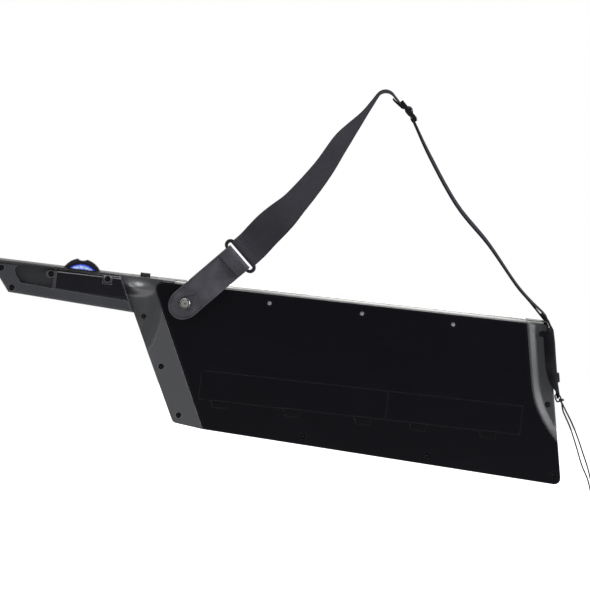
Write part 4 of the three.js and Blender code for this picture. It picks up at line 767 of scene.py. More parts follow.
# Case screws.
# Fifteen pan-head screws with cross recesses close the case from behind, each sunk in its round pocket.
# One is modelled and copied: bright zinc in the panel's three upper pockets, and in the others
# the same screw painted near black, a painted shade for their deep pockets.
SHOULDER_X = 701
NECK_LENGTH = 202
NECK_DEPTH = 55
BAND_SLOPE = 104 / (0.877 * BODY_DEPTH)
BAND_SCREWS_IN = 13.6
TRIM_SCREWS_IN = 11.3
SCREW_HEAD = 3.6
SCREW_RISE = 1.9
HEAD_RISES = [(0.9, 0.5), (1.2, 0.12)]
HEAD_ROUND = 0.12
CROSS_LONG = 4.0
CROSS_WIDE = 0.95
CROSS_DEEP = 2.2
CROSS_MIDDLE = SCREW_RISE + 0.6
CROSS_TAPER_SHARE = 0.55
SCREW_SPIN = 37
BRIGHT_SCREWS = 3
PANEL_SHARES = [
    (0.6716, 0.0697), (0.4705, 0.0697), (0.2718, 0.0738), (0.5685, 0.873), (0.2957, 0.9057), (0.0193, 0.9385),
]
BAND_SHARES = [(0.2418, -11.3), (0.5369, -4.2), (0.8279, -4.2)]
TRIM_SHARES = [0.0738, 0.5082]
NECK_SHARES = [(0.5149, 0.1818, -9.7), (0.0891, 0.1455, -9.7), (0.8911, 0.1636, -7.2), (0.797, 0.6727, -7.2)]
screw_places = [(x * SHOULDER_X, -4.2, -z * BODY_DEPTH) for x, z in PANEL_SHARES]
screw_places += [
    (SHOULDER_X - BAND_SLOPE * z * BODY_DEPTH - BAND_SCREWS_IN, y, -z * BODY_DEPTH) for z, y in BAND_SHARES
]
screw_places += [
    (END_LEAN - END_SLOPE * z * BODY_DEPTH + TRIM_SCREWS_IN, -10.5, -z * BODY_DEPTH) for z in TRIM_SHARES
]
screw_places += [(SHOULDER_X + x * NECK_LENGTH, y, -z * NECK_DEPTH) for x, z, y in NECK_SHARES]


def finish(piece, kind, **sizes):
    """Gives the piece a modifier and applies it."""
    only(piece)
    modifier = piece.modifiers.new("finish", kind)
    for key, value in sizes.items():
        setattr(modifier, key, value)
    bpy.ops.object.modifier_apply(modifier="finish")


def carve(piece, cutter):
    """Cuts the cutter out of the piece and removes the cutter."""
    finish(piece, "BOOLEAN", operation="DIFFERENCE", solver="EXACT", object=cutter)
    bpy.data.objects.remove(cutter)


def softened(piece, width, segments=2, angle=30):
    """Rounds the piece's edges and shades them by angle."""
    over = math.radians(angle)
    finish(piece, "BEVEL", width=width, segments=segments, limit_method="ANGLE", angle_limit=over)
    smooth(piece)


def copied(piece, name, matrix):
    """A copy with its own mesh, moved by the matrix."""
    twin = piece.copy()
    twin.data = piece.data.copy()
    twin.name = twin.data.name = name
    bpy.context.collection.objects.link(twin)
    twin.data.transform(matrix)
    return twin


deselect()
bpy.ops.mesh.primitive_cylinder_add(
    vertices=24, radius=SCREW_HEAD * MM, depth=SCREW_RISE * MM, location=(0, 0, SCREW_RISE / 2 * MM),
)
screw = bpy.context.object
screw.name = "case_screw"
settle(screw, Matrix.Identity(4))
edit(screw)
choose("FACE", lambda middle, normal: normal.z > FACING)
for inward, rise in HEAD_RISES:
    bpy.ops.mesh.inset(thickness=inward * MM, depth=rise * MM)
leave()
for length, width in ((CROSS_LONG, CROSS_WIDE), (CROSS_WIDE, CROSS_LONG)):
    deselect()
    bpy.ops.mesh.primitive_cube_add(
        size=1, location=(0, 0, CROSS_MIDDLE * MM), scale=(length * MM, width * MM, CROSS_DEEP * MM),
    )
    cross = bpy.context.object
    edit(cross)
    choose("FACE", lambda middle, normal: normal.z < -FACING)
    bpy.ops.transform.resize(value=(CROSS_TAPER_SHARE, CROSS_TAPER_SHARE, 1))
    leave()
    carve(screw, cross)
softened(screw, HEAD_ROUND * MM, 1, 40)

metal_worn, metal_in, metal_out = effect(
    "worn_metal",
    {"Colour": (0.5, 0.5, 0.5, 1), "Bare Colour": (0.7, 0.7, 0.7, 1), "Roughness": 0.3},
    SURFACE,
)
scuffs = noise(metal_worn, on_object(metal_worn), 700.0, 5.0, 0.7)
bare = graded(metal_worn, scuffs, 0.55, 0.7)
fill(
    metal_worn, metal_out, Colour=blend(metal_worn, bare, (metal_in, "Colour"), (metal_in, "Bare Colour")),
    Roughness=maths(metal_worn, "MULTIPLY_ADD", scuffs, 0.3, (metal_in, "Roughness")),
    Height=scuffs,
)


def metal(name, colour, bare, *, roughness, depth):
    """A plated metal, scuffed to a brighter one."""
    material, tree, shader = finish_of(name, Metallic=1.0)
    surface = use(tree, metal_worn, Colour=colour, Bare_Colour=bare, Roughness=roughness)
    feed(tree, shader, surface, depth, 0.0002)
    return material


screw_zinc = metal("screw_zinc", (0.17, 0.17, 0.18, 1), (0.5, 0.5, 0.52, 1), roughness=0.16, depth=0.3)
# Painted shade: the screws in the deep pockets are given a near-black colour.
screw_black = metal("screw_black", (0.009, 0.009, 0.01, 1), (0.03, 0.03, 0.032, 1), roughness=0.3, depth=0.15)
stand_out = Matrix.Rotation(-math.pi / 2, 4, "X")
for count, spot in enumerate(screw_places):
    spin = Matrix.Rotation(math.radians(SCREW_SPIN * count), 4, "Y")
    twin = copied(screw, f"case_screw_{count + 1:02d}", Matrix.Translation(in_row(*spot)) @ spin @ stand_out)
    dress([twin], screw_zinc if count < BRIGHT_SCREWS else screw_black)
    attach(twin, "case")
bpy.data.objects.remove(screw)

# Strap pegs.
# Two turned strap buttons, the rear one nickel-plated and the end one black, each with a cross recess.
# Its head is painted in rings: the light ones are painted highlights, the dark ones between them
# and round the recess painted shade.
PEG = Vector((0.8532 * SHOULDER_X, 0, -0.1266 * BODY_DEPTH))
PEG_RADIUS = 0.0085
PEG_LIGHT_AND_SHADE = [
    (0.0, 0.05), (0.16, 0.3), (0.24, 1.0), (0.34, 0.12), (0.44, 0.9),
    (0.56, 0.7), (0.66, 0.3), (0.74, 0.05), (1.0, 1.0),
]
peg_nickel = metal("peg_nickel", (0.24, 0.24, 0.23, 1), (0.44, 0.44, 0.43, 1), roughness=0.2, depth=0.3)
tree, shader = shader_of(peg_nickel)
radius = (use(tree, away_from, Middle=tuple(in_row(*PEG))), "Distance")
# Painted highlights and painted shade, in rings round the peg's middle.
greys = [(share, (level, level, level, 1)) for share, level in PEG_LIGHT_AND_SHADE]
painted_rings = put(
    tree, "Mix", {"data_type": "RGBA", "blend_type": "MULTIPLY"}, _0=1.0, _6=feeding(shader, "Base Color"),
    _7=in_rings(tree, graded(tree, radius, 0.0, PEG_RADIUS), greys),
)
fill(tree, shader, Base_Color=(painted_rings, 2))
ring_black = metal("ring_black", (0.012, 0.012, 0.014, 1), (0.04, 0.04, 0.043, 1), roughness=0.3, depth=0.1)
dress(["rear_strap_peg"], peg_nickel)
dress(["end_strap_peg"], ring_black)

# Adjuster.
# A black slide with three bars, moulded in nylon.
# The webbing runs under, over and under the bars, and its end comes back round the middle one.
slide_black = plastic(
    "slide_black", (0.009, 0.009, 0.01, 1), (0.014, 0.014, 0.015, 1), 2000.0,
    roughness=0.4, wiping_marks=0.12, depth=0.25, specular=0.0,
)
dress(["strap_adjuster"], slide_black)

# Rear strap tab.
# A 3 mm leather strap end with a rolled rim, buttoned over the rear peg. Its outer end is doubled with a thin
# patch round a teardrop button hole, and its inner end is folded round the ring and sewn down.
STRAP_SLOPE = math.radians(133)
STRAP_ALONG = Vector((math.cos(STRAP_SLOPE), 0, math.sin(STRAP_SLOPE)))
OUT_OF_REAR = Vector((0, 1, 0))
TAB_SIDE = OUT_OF_REAR.cross(STRAP_ALONG)
TAB_HALF = 23
TAB_REACH = 27
TAB_BAR = 104
TAB_FOLD = 87
TAB_TOP = LEATHER_LIFT + LEATHER_THICK
RIM_WIDTH = 3.6
RIM_STEPS = [(RIM_WIDTH - 1.2, 0), (0.6, -0.55), (0.6, 0.3)]
TAB_ROUND = 0.75
BUTTON_HOLE = 5.4
SLIT_TIP = 22
SLIT_WIDE = 0.9
THROUGH = 20
OVAL_STEPS = 14
NEARLY = 0.99
MERGE = 0.02
PATCH_IN = RIM_WIDTH + 0.3
PATCH_END = 16
PATCH_POINT = 8
PATCH_THICK = 0.8
PATCH_SUNK = 0.4
PATCH_ROUND = 0.35
DROP_RADIUS = 9
DROP_PULL = 13
DROP_TALL = 5
DROP_FROM = TAB_TOP + 0.05
NEAR = 0.1
GAP = 0.3
RING_WIRE = 2
RING_SPAN = 13.2
RING_Y = TAB_TOP + GAP + RING_WIRE
FOLD_THICK = LEATHER_THICK + 0.8
FOLD_LIP = 0.8
ROLL_MID = RING_WIRE + GAP + LEATHER_THICK / 2 + 0.4
ROLL_TURN = (-88, 92)
ARC_STEPS = 14
FOLD_START = [(96, LEATHER_MID), (99, LEATHER_MID), (102, LEATHER_MID)]
FOLD_END = [(101, 10.9), (97, 9.3), (93, 7.9), (90, 7.2), (TAB_FOLD, 6.9)]
STITCH_LONG = 3.2
STITCH_THICK = 0.42
STITCH_PITCH = STITCH_LONG * 1.3
SEAM_HALF = TAB_HALF - 3.4
SEAM_ROWS = [(TAB_FOLD + 2.6, 8.45), (TAB_FOLD + 7, 9.75)]
TO_ROW = Matrix.Scale(MM, 4) @ Matrix.Translation(-CROWN)


def placed(origin, along, out):
    """Turns a piece drawn in millimetres, X along and Z out, into its place on the instrument."""
    turn = Matrix((along, out.cross(along), out)).transposed().to_4x4()
    return Matrix.Translation(in_row(*origin)) @ turn @ Matrix.Scale(MM, 4)


def raised(height):
    """In edit mode, pulls a flat face up into a solid whose faces point outwards."""
    bpy.ops.mesh.select_all(action="SELECT")
    bpy.ops.mesh.extrude_region_move(TRANSFORM_OT_translate={"value": (0, 0, height)})
    bpy.ops.mesh.select_all(action="SELECT")
    bpy.ops.mesh.normals_make_consistent(inside=False)


def oval_blank(name, x0, x1, half, low, high, round_end):
    """A leather blank: a plane with its outer corners rounded to a half oval, pulled up to its thickness."""
    deselect()
    bpy.ops.mesh.primitive_plane_add(size=1, location=((x0 + x1) / 2, 0, low))
    blank = bpy.context.object
    blank.name = blank.data.name = name
    blank.scale = (x1 - x0, 2 * half, 1)
    settle(blank, Matrix.Identity(4))
    edit(blank)
    choose("VERT", lambda corner, normal: corner.x < x0 + 1)
    bpy.ops.mesh.bevel(offset=half * NEARLY, offset_type="OFFSET", segments=OVAL_STEPS, affect="VERTICES")
    choose("VERT", lambda corner, normal: corner.x < x0 + half)
    bpy.ops.transform.resize(value=(round_end / half, 1, 1), center_override=(x0 + half, 0, 0))
    bpy.ops.transform.translate(value=(round_end - half, 0, 0))
    bpy.ops.mesh.select_all(action="SELECT")
    bpy.ops.mesh.remove_doubles(threshold=MERGE)
    raised(high - low)
    leave()
    return blank


def cutter(matrix, kind, **sizes):
    """A primitive to cut with, put in its place by the matrix."""
    deselect()
    getattr(bpy.ops.mesh, f"primitive_{kind}_add")(**sizes)
    tool = bpy.context.object
    settle(tool, matrix)
    return tool


def button_hole(piece, matrix):
    """Cuts the round hole that the peg's neck fills, and the slit that lets its head through."""
    carve(piece, cutter(matrix, "cylinder", vertices=32, radius=BUTTON_HOLE, depth=THROUGH))
    slit = cutter(matrix, "cube", size=1, location=(SLIT_TIP / 2, 0, 0), scale=(SLIT_TIP, SLIT_WIDE, THROUGH))
    carve(piece, slit)


on_tab = placed(PEG, STRAP_ALONG, OUT_OF_REAR)
tab = oval_blank("rear_tab_leather", -TAB_REACH, TAB_BAR - 2, TAB_HALF, LEATHER_LIFT, TAB_TOP, TAB_REACH)
edit(tab)
choose("FACE", lambda middle, normal: normal.z > FACING)
for inward, rise in RIM_STEPS:
    bpy.ops.mesh.inset(thickness=inward, depth=rise)
leave()
button_hole(tab, Matrix.Identity(4))
softened(tab, TAB_ROUND, 3, 50)
settle(tab, on_tab)

patch = oval_blank(
    "rear_tab_patch", -TAB_REACH + PATCH_IN, PATCH_END, TAB_HALF - PATCH_IN,
    TAB_TOP - PATCH_SUNK, TAB_TOP + PATCH_THICK, TAB_REACH - RIM_WIDTH,
)
edit(patch)
choose("EDGE", lambda middle, run: middle.x > PATCH_END - NEAR and abs(run.y) > FACING)
bpy.ops.mesh.subdivide(number_cuts=1)
choose("VERT", lambda corner, normal: corner.x > PATCH_END - NEAR and abs(corner.y) < 1)
bpy.ops.transform.translate(value=(PATCH_POINT, 0, 0))
leave()
deselect()
bpy.ops.mesh.primitive_circle_add(
    vertices=32, radius=DROP_RADIUS, fill_type="NGON", location=(0, 0, DROP_FROM),
)
drop = bpy.context.object
edit(drop)
choose("VERT", lambda corner, normal: corner.x > DROP_RADIUS - NEAR)
bpy.ops.transform.translate(
    value=(SLIT_TIP - DROP_RADIUS, 0, 0), use_proportional_edit=True,
    proportional_edit_falloff="SHARP", proportional_size=DROP_PULL,
)
raised(DROP_TALL)
leave()
carve(patch, drop)
softened(patch, PATCH_ROUND, 2, 40)
settle(patch, on_tab)


def run_at(line, k):
    """The way that a line of places runs at its place k."""
    return (line[min(k + 1, len(line) - 1)] - line[max(k - 1, 0)]).normalized()


def carried(name, stations, section_at):
    """A closed strip with a section at each station; its own UV map runs across it and along it."""
    data = bpy.data.meshes.new(name)
    corners, faces, flat, reach = [], [], [], 0.0
    for k, (point, w, n) in enumerate(stations):
        section = section_at(k)
        if k:
            reach += (point - stations[k - 1][0]).length
        for a, b in section:
            corners.append(tuple(point + w * a + n * b))
            flat.append((a * MM, reach * MM))
    sides = len(section)
    for k in range(len(stations) - 1):
        for j in range(sides):
            a, b = k * sides + j, k * sides + (j + 1) % sides
            faces.append((a, b, b + sides, a + sides))
    faces.append(tuple(range(sides))[::-1])
    faces.append(tuple(range((len(stations) - 1) * sides, len(stations) * sides)))
    data.from_pydata(corners, [], faces)
    layer = data.uv_layers.new(name="strip")
    for loop in data.loops:
        layer.data[loop.index].uv = flat[loop.vertex_index]
    piece = bpy.data.objects.new(name, data)
    bpy.context.collection.objects.link(piece)
    edit(piece)
    bpy.ops.mesh.select_all(action="SELECT")
    bpy.ops.mesh.normals_make_consistent(inside=False)
    leave()
    smooth(piece, 50)
    return piece


def rolled(name, line, across, half, thick, lip):
    """A leather strip: a rounded flat section carried along a line, with its width the same way."""
    corner = [(half - lip, thick / 2), (half - lip * 0.3, thick * 0.35), (half, 0)]
    right_side = corner + [(a, -b) for a, b in corner[1::-1]]
    shape = [(lip - half, thick / 2)] + right_side + [(-a, b) for a, b in right_side[:0:-1]]
    stations = []
    for k, point in enumerate(line):
        run = run_at(line, k)
        w = (across - run * across.dot(run)).normalized()
        stations.append((point, w, run.cross(w)))
    return carried(name, stations, lambda k: shape)


def arc(middle, radius, start, end, steps, to_place):
    """Points of an arc in a plane, its angles in degrees."""
    turn = [math.radians(start + (end - start) * k / steps) for k in range(steps + 1)]
    return [to_place(middle[0] + radius * math.cos(a), middle[1] + radius * math.sin(a)) for a in turn]


def over_tab(u, y):
    return PEG + STRAP_ALONG * u + OUT_OF_REAR * y


fold_line = [over_tab(*place) for place in FOLD_START]
fold_line += arc((TAB_BAR, RING_Y), ROLL_MID, *ROLL_TURN, ARC_STEPS, over_tab)
fold_line += [over_tab(*place) for place in FOLD_END]
fold = rolled("rear_tab_fold", fold_line, TAB_SIDE, TAB_HALF, FOLD_THICK, FOLD_LIP)
settle(fold, TO_ROW)


def stitches(name, lines, matrix):
    """Rows of waxed thread: one stitch is modelled and repeated along each line of places in millimetres."""
    deselect()
    bpy.ops.mesh.primitive_uv_sphere_add(
        segments=8, ring_count=6, radius=1, scale=(STITCH_LONG / 2, STITCH_THICK, STITCH_THICK * 0.8),
    )
    one = bpy.context.object
    settle(one, Matrix.Identity(4))
    body = bmesh.new()
    for line in lines:
        points = [Vector(p) for p in line]
        places = spaced(points, max(2, round(length_of(points) / STITCH_PITCH)))
        for a, b in zip(places, places[1:]):
            turn = (b - a).to_track_quat("X", "Z").to_matrix().to_4x4()
            before = len(body.verts)
            body.from_mesh(one.data)
            body.verts.ensure_lookup_table()
            move = Matrix.Translation((a + b) / 2) @ turn
            bmesh.ops.transform(body, matrix=move, verts=body.verts[before:])
    piece = bpy.data.objects.new(name, bpy.data.meshes.new(name))
    body.to_mesh(piece.data)
    body.free()
    bpy.context.collection.objects.link(piece)
    bpy.data.objects.remove(one)
    piece.data.transform(matrix)
    for face in piece.data.polygons:
        face.use_smooth = True
    return piece


seams = [[(along, across, rise) for across in (-SEAM_HALF, 0, SEAM_HALF)] for along, rise in SEAM_ROWS]
tab_thread = stitches("rear_tab_thread", seams, on_tab)

HOLE_MIDDLE = in_row(*(PEG + STRAP_ALONG * 5))
HOLE_REACH = (0.0176, 0.018)
HOLE_SHADE_SHARE = 0.22
tab_hide = hide(
    "tab_hide", (0.036, 0.036, 0.043, 1), (0.058, 0.058, 0.068, 1), pores=700.0, roughness=0.4, depth=0.5,
)
# Painted shade: the leather is darkened round the button hole, inside the teardrop of the patch.
tree, shader = shader_of(tab_hide)
radius = (use(tree, away_from, Middle=tuple(HOLE_MIDDLE)), "Distance")
painted_hole_shade = graded(tree, radius, *HOLE_REACH, HOLE_SHADE_SHARE, 1.0)
fill(tree, shader, Base_Color=shaded(tree, feeding(shader, "Base Color"), painted_hole_shade))
patch_hide = hide(
    "patch_hide", (0.03, 0.03, 0.035, 1), (0.052, 0.052, 0.06, 1), pores=820.0, roughness=0.36, depth=0.5,
)
thread_black, tree, shader = finish_of("thread_black", Roughness=0.6, Specular_IOR_Level=0.06)
place = on_object(tree)
twist = put(tree, "TexWave", {"bands_direction": "DIAGONAL"}, Vector=place, Scale=900.0, Distortion=2.0)
fill(tree, shader, Base_Color=blend(tree, (twist, "Fac"), (0.009, 0.009, 0.01, 1), (0.03, 0.03, 0.032, 1)))
dress([tab, fold], tab_hide)
dress([patch], patch_hide)
dress([tab_thread], thread_black)
for piece in (tab, patch, fold, tab_thread):
    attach(piece, "case")
    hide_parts("rear_strap_tab")

# Ring.
# A black-plated loop of thick round wire, bent with half-round ends and closed.
# It joins the folded leather end to the webbing.
RING_HALF = 28.7
RING_THICK = 4.5
RING_SWELL = 0.3
RING_STEPS = 16
RING_BEND = RING_SPAN / 2


def in_ring(u, v):
    return over_tab(u, RING_Y) + TAB_SIDE * v


ring_line = arc((TAB_BAR + RING_BEND, RING_HALF - RING_BEND), RING_BEND, 0, 180, RING_STEPS, in_ring)
ring_line += arc((TAB_BAR + RING_BEND, RING_BEND - RING_HALF), RING_BEND, 180, 360, RING_STEPS, in_ring)
ring_ends = [1 + RING_SWELL * math.sin(math.pi * k / RING_STEPS) for k in range(RING_STEPS + 1)]
loop = tube("strap_loop", [in_row(*place) for place in ring_line], RING_THICK, ring=True, swell=ring_ends * 2)
dress([loop], ring_black)
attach(loop, "case")
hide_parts("strap_ring")

# Webbing.
# One 50 mm band of woven polyester: sewn round the ring, twisted over the crown, led through the adjuster,
# passed round the end tab's head and led back under itself to the adjuster's middle bar.
WEB_WIDTH = 50
WEB_THICK = 1.8
WEB_HALF = WEB_WIDTH / 2
CROWN_BEND = 15
LEFT_RISE = 57
FALL = 45
ADJUSTER_FROM = 33.5
BAR_APART = 13
BAR_RADIUS = 2
LEAF_SPREAD = 0.95
SLEEVE = BAR_RADIUS + GAP + WEB_THICK / 2
OVER_SLEEVE = SLEEVE + WEB_THICK + GAP
fall = math.radians(FALL)
CROWN_MID = CROWN + Vector((0, 0, WEB_THICK / 2 - CROWN_BEND))
ADJUSTER_ALONG = Vector((-math.cos(fall), 0, -math.sin(fall)))
ADJUSTER_OUT = Vector((-math.sin(fall), 0, math.cos(fall)))
ADJUSTER = CROWN_MID + ADJUSTER_OUT * (CROWN_BEND + SLEEVE) + ADJUSTER_ALONG * ADJUSTER_FROM
HEAD_SLOPE = math.radians(45.5)
HEAD_BAR = 7
HEAD_ALONG = Vector((math.cos(HEAD_SLOPE), 0, math.sin(HEAD_SLOPE)))
HEAD_OUT = Vector((-math.sin(HEAD_SLOPE), 0, math.cos(HEAD_SLOPE)))
HEAD = Vector((END_LEAN + 5.3, -33, 4.9))
U_TURN = LEATHER_THICK / 2 + GAP + WEB_THICK / 2
RING_END = PEG + STRAP_ALONG * (TAB_BAR + RING_SPAN) + OUT_OF_REAR * RING_Y
LEFT_SHARES = [
    (0.065, 0.17, 0.05), (0.16, 0.23, 0.14), (0.352, 0.38, 0.302),
    (0.554, 0.6, 0.516), (0.69, 0.785, 0.7), (0.841, 0.91, 0.861),
]
LEFT_TURNS = [0, 2, 41.5, 53, 60, 82]
LEFT_STEPS = 80
EVENED_OVER = 5
RUN_SHARES = [
    (0.128, 0.25, 0.183), (0.356, 0.5, 0.45), (0.585, 0.75, 0.638), (0.815, 0.9, 0.86), (0.905, 0.96, 0.93),
]
LEAF_STEPS = 50
TAIL = [(-19, -6.3), (-24, -7.0), (-29, -7.6)]
TAIL_STEPS = 8
SEWN_FROM = 9
SEWN_TO = 36
SEWN_FOOT = (4, 0.6 - SLEEVE)
RING_TURN = (280, 95)
BAR_STEPS = 4
MIDDLE_STEPS = 10
HEAD_STEPS = 12
CROWN_TILT = 2.5
FALL_TILT = 2.2
FOOT_TILT = 0.4
HEAD_FLAT = 5
SAME_PLACE = 0.05


def between(start, end, shares):
    return Vector(a + s * (b - a) for a, b, s in zip(start, end, shares))


def in_adjuster(s, n):
    return ADJUSTER + ADJUSTER_ALONG * s + ADJUSTER_OUT * n


def in_head(s, n):
    return HEAD + HEAD_ALONG * s + HEAD_OUT * n


def by_ring(s, y):
    return RING_END + STRAP_ALONG * s + OUT_OF_REAR * y


def over_crown(x, z):
    return CROWN_MID + Vector((x, 0, z))


def reach_along(points):
    return np.cumsum([0.0] + [(b - a).length for a, b in zip(points, points[1:])])


def beside(run):
    """Square to a run in the plane of the strap."""
    return Vector((run.z, 0, -run.x)).normalized()


def apart(points, distance):
    return [point + beside(run_at(points, k)) * distance for k, point in enumerate(points)]


crown_arc = arc((0, 0), CROWN_BEND, 90 - LEFT_RISE, 90 + FALL, ARC_STEPS, over_crown)
left = [by_ring(WEB_THICK / 2, SLEEVE)]
left += [between(RING_END, over_crown(0, CROWN_BEND), shares) for shares in LEFT_SHARES] + [crown_arc[0]]
left_run = spaced(left, LEFT_STEPS)
left_reach = reach_along(left)
even_reach = np.linspace(0, left_reach[-1], LEFT_STEPS + 1)
turns = np.interp(even_reach, left_reach, [0, *LEFT_TURNS, 90 - CROWN_TILT])
turns = np.pad(turns, EVENED_OVER // 2, mode="edge")
turns = np.convolve(turns, np.ones(EVENED_OVER) / EVENED_OVER, mode="valid")

sewn = [
    p - OUT_OF_REAR * (WEB_THICK + GAP) for p in left_run if SEWN_FROM < (p - left_run[0]).length < SEWN_TO
]
ring_turn = sewn[::-1] + [by_ring(*SEWN_FOOT)] + arc((0, 0), SLEEVE, *RING_TURN, ARC_STEPS, by_ring)
wrap = math.degrees(math.asin((SLEEVE + OVER_SLEEVE) / BAR_APART))
weave = arc((-BAR_APART, 0), SLEEVE, -90, -90 + wrap, BAR_STEPS, in_adjuster)
weave += arc((0, 0), OVER_SLEEVE, 90 + wrap, 90 - wrap, MIDDLE_STEPS, in_adjuster)
weave += arc((BAR_APART, 0), SLEEVE, -90 - wrap, -90, BAR_STEPS, in_adjuster)
weave.append(in_adjuster(BAR_APART + 2 * BAR_RADIUS, -SLEEVE))
run = [between(weave[-1], in_head(HEAD_BAR, 0), shares) for shares in RUN_SHARES]
home = apart(weave, -WEB_THICK - GAP)[::-1]
outer = spaced([weave[-1], *apart(run, LEAF_SPREAD), in_head(HEAD_BAR, U_TURN)], LEAF_STEPS)[1:]
back = spaced([in_head(HEAD_BAR, -U_TURN), *apart(run, -LEAF_SPREAD)[::-1], home[0]], LEAF_STEPS)[:-1]
head_turn = arc((0, 0), U_TURN, 90, 270, HEAD_STEPS, in_head)
home += spaced([home[-1], *(in_adjuster(*place) for place in TAIL)], TAIL_STEPS)[1:]

marks = [0]
path = []
for part in (ring_turn, left_run, crown_arc, weave, outer, head_turn, back, home):
    path += [p for k, p in enumerate(part) if not path or k or (p - path[-1]).length > SAME_PLACE]
    marks.append(len(path))
lengths = reach_along(path)
at_crown = (marks[2] + marks[3]) // 2
at_head = (marks[5] + marks[6]) // 2
apex, slide_in, slide_out, mid_head, slide_back = lengths[[at_crown, marks[3], marks[4], at_head, marks[7]]]
run_long = mid_head - slide_out
tilt_places = [
    (apex, CROWN_TILT), (slide_in, 0), (slide_out, 0),
    (slide_out + 0.15 * run_long, FALL_TILT), (slide_out + 0.5 * run_long, FALL_TILT),
    (slide_out + 0.75 * run_long, FOOT_TILT), (mid_head - HEAD_FLAT, 0), (mid_head + HEAD_FLAT, 0),
    (mid_head + 0.25 * run_long, FOOT_TILT), (mid_head + 0.5 * run_long, FALL_TILT),
    (slide_back - 0.15 * run_long, FALL_TILT), (slide_back, 0),
]
tilts = np.interp(lengths, *zip(*tilt_places))
stations = []
for k, point in enumerate(path):
    run_way = run_at(path, k)
    if k < marks[1]:
        w = beside(STRAP_ALONG)
    elif k < marks[2]:
        turn = math.radians(turns[k - marks[1]])
        w = beside(run_way) * math.cos(turn) - OUT_OF_REAR * math.sin(turn)
    else:
        tilt = math.radians(tilts[k])
        w = beside(run_way) * math.sin(tilt if k < at_head else -tilt) - OUT_OF_REAR * math.cos(tilt)
    w = (w - run_way * w.dot(run_way)).normalized()
    stations.append((point, w, run_way.cross(w)))

half_face = [
    (WEB_HALF - 0.7, 0.72), (WEB_HALF - 2.4, 0.84), (WEB_HALF - 3.4, 0.72), (WEB_HALF / 2, 0.76), (0, 0.78),
]
web_face = [(-a, b) for a, b in half_face] + half_face[-2::-1]
web_section = web_face + [(WEB_HALF, 0.3), (WEB_HALF, -0.3)]
web_section += [(a, -b) for a, b in web_face[::-1]] + [(-WEB_HALF, -0.3), (-WEB_HALF, 0.3)]
webbing = carried("strap_webbing_band", stations, lambda k: web_section)
settle(webbing, TO_ROW)

ZIGZAG = 0.0042
woven, woven_in, woven_out = effect(
    "woven_band", {"Colour": DARK, "Thread Colour": LIGHTER, "Rib": 0.0016, "Roughness": 0.75}, SURFACE,
)
strip = put(woven, "SeparateXYZ", _0=(put(woven, "UVMap", {"uv_map": "strip"}), "UV"))
slant = maths(woven, "ADD", maths(woven, "PINGPONG", (strip, "X"), ZIGZAG), (strip, "Y"))
wave = maths(woven, "PINGPONG", maths(woven, "DIVIDE", slant, (woven_in, "Rib")), 0.5)
pick = maths(woven, "PINGPONG", maths(woven, "DIVIDE", (strip, "X"), (woven_in, "Rib")), 0.5)
place = on_object(woven)
lighter = maths(woven, "MULTIPLY", wave, noise(woven, place, 26.0, 3.0))
fuzz = noise(woven, place, 1800.0, 2.0)
fill(
    woven, woven_out, Colour=blend(woven, lighter, (woven_in, "Colour"), (woven_in, "Thread Colour")),
    Roughness=maths(woven, "MULTIPLY_ADD", fuzz, 0.2, (woven_in, "Roughness")),
    Height=maths(woven, "MULTIPLY_ADD", pick, 0.4, wave),
)
web_black, tree, shader = finish_of("web_black", Specular_IOR_Level=0.0)
surface = use(
    tree, woven, Colour=(0.021, 0.021, 0.025, 1), Thread_Colour=(0.066, 0.066, 0.077, 1), Roughness=0.65,
)
feed(tree, shader, surface, 0.35, 0.0004)
dress([webbing], web_black)

SEAM_ALONG = (11, 15)
SEAM_ACROSS = (-21, 0, 21)
SEAM_WITHIN = 12
THREAD_OVER = WEB_THICK / 2 + 0.1
web_place = placed(RING_END, STRAP_ALONG, OUT_OF_REAR)
sewn_top = [web_place.inverted() @ ((p - CROWN) * MM) for p in left_run[:SEAM_WITHIN]]
sewn_along = [p.x for p in sewn_top]
sewn_rise = [p.z + THREAD_OVER for p in sewn_top]
web_seams = [[(x, a, float(np.interp(x, sewn_along, sewn_rise))) for a in SEAM_ACROSS] for x in SEAM_ALONG]
web_thread = stitches("webbing_thread", web_seams, web_place)
dress([web_thread], thread_black)
for piece in (webbing, web_thread):
    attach(piece, "case")
    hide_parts("strap_webbing")

# End strap tab.
# The second leather end, buttoned over the end peg, with its near side drawn round the case's corner.
# Its head is bent over the top corner with a slot for the webbing, its foot rounded about the lace's eyelet.
SLOT_DEEP = 5.2
SLOT_HALF = 26
HEAD_HALF = 30
FAR_HALF = 22.5
FOOT_REACH = 32
FOOT_OVAL = 64
OVAL_POWER = 2.4
OVAL_LEAST = 0.1
TAB_STRAIGHT = 65
TAB_STEPS = 90
ACROSS = 16
EYELET_RADIUS = 3.2
GROOVE = 0.35
GROOVE_AT = (2, ACROSS - 2)
HEAD_SPREAD = (18, 30)
CORNER_BEND = (19, 27)
FOOT_FLAT = 4
TIP_LONG = 4
TIP_FALL = 0.1
TIP_LEAST = 0.3
EDGE_POWER = 9
EDGE_LEAST = 0.04
LOOK_AHEAD = 0.4
CORNER_STEPS = 60
CORNER_ROUTE = [
    (0, 0), (9, 1.0), (17, 2.2), (23.4, 1.9), (27.2, -0.6), (28.6, -4.6), (28.7, -9.4), (28.3, -13.4),
]
end_line = spaced([
    on_end(-FOOT_REACH, LEATHER_MID + 2), on_end(-FOOT_REACH / 2, LEATHER_MID + 0.7),
    on_end(0, LEATHER_MID), on_end(TAB_REACH, LEATHER_MID), on_end(TAB_STRAIGHT, LEATHER_MID),
    in_head(-2 * SLOT_DEEP, 0), in_head(0, 0), in_head(HEAD_BAR, 0),
], TAB_STEPS)
end_reach = reach_along(end_line)
corner_line = np.array(spaced([(*place, 0) for place in CORNER_ROUTE], CORNER_STEPS))
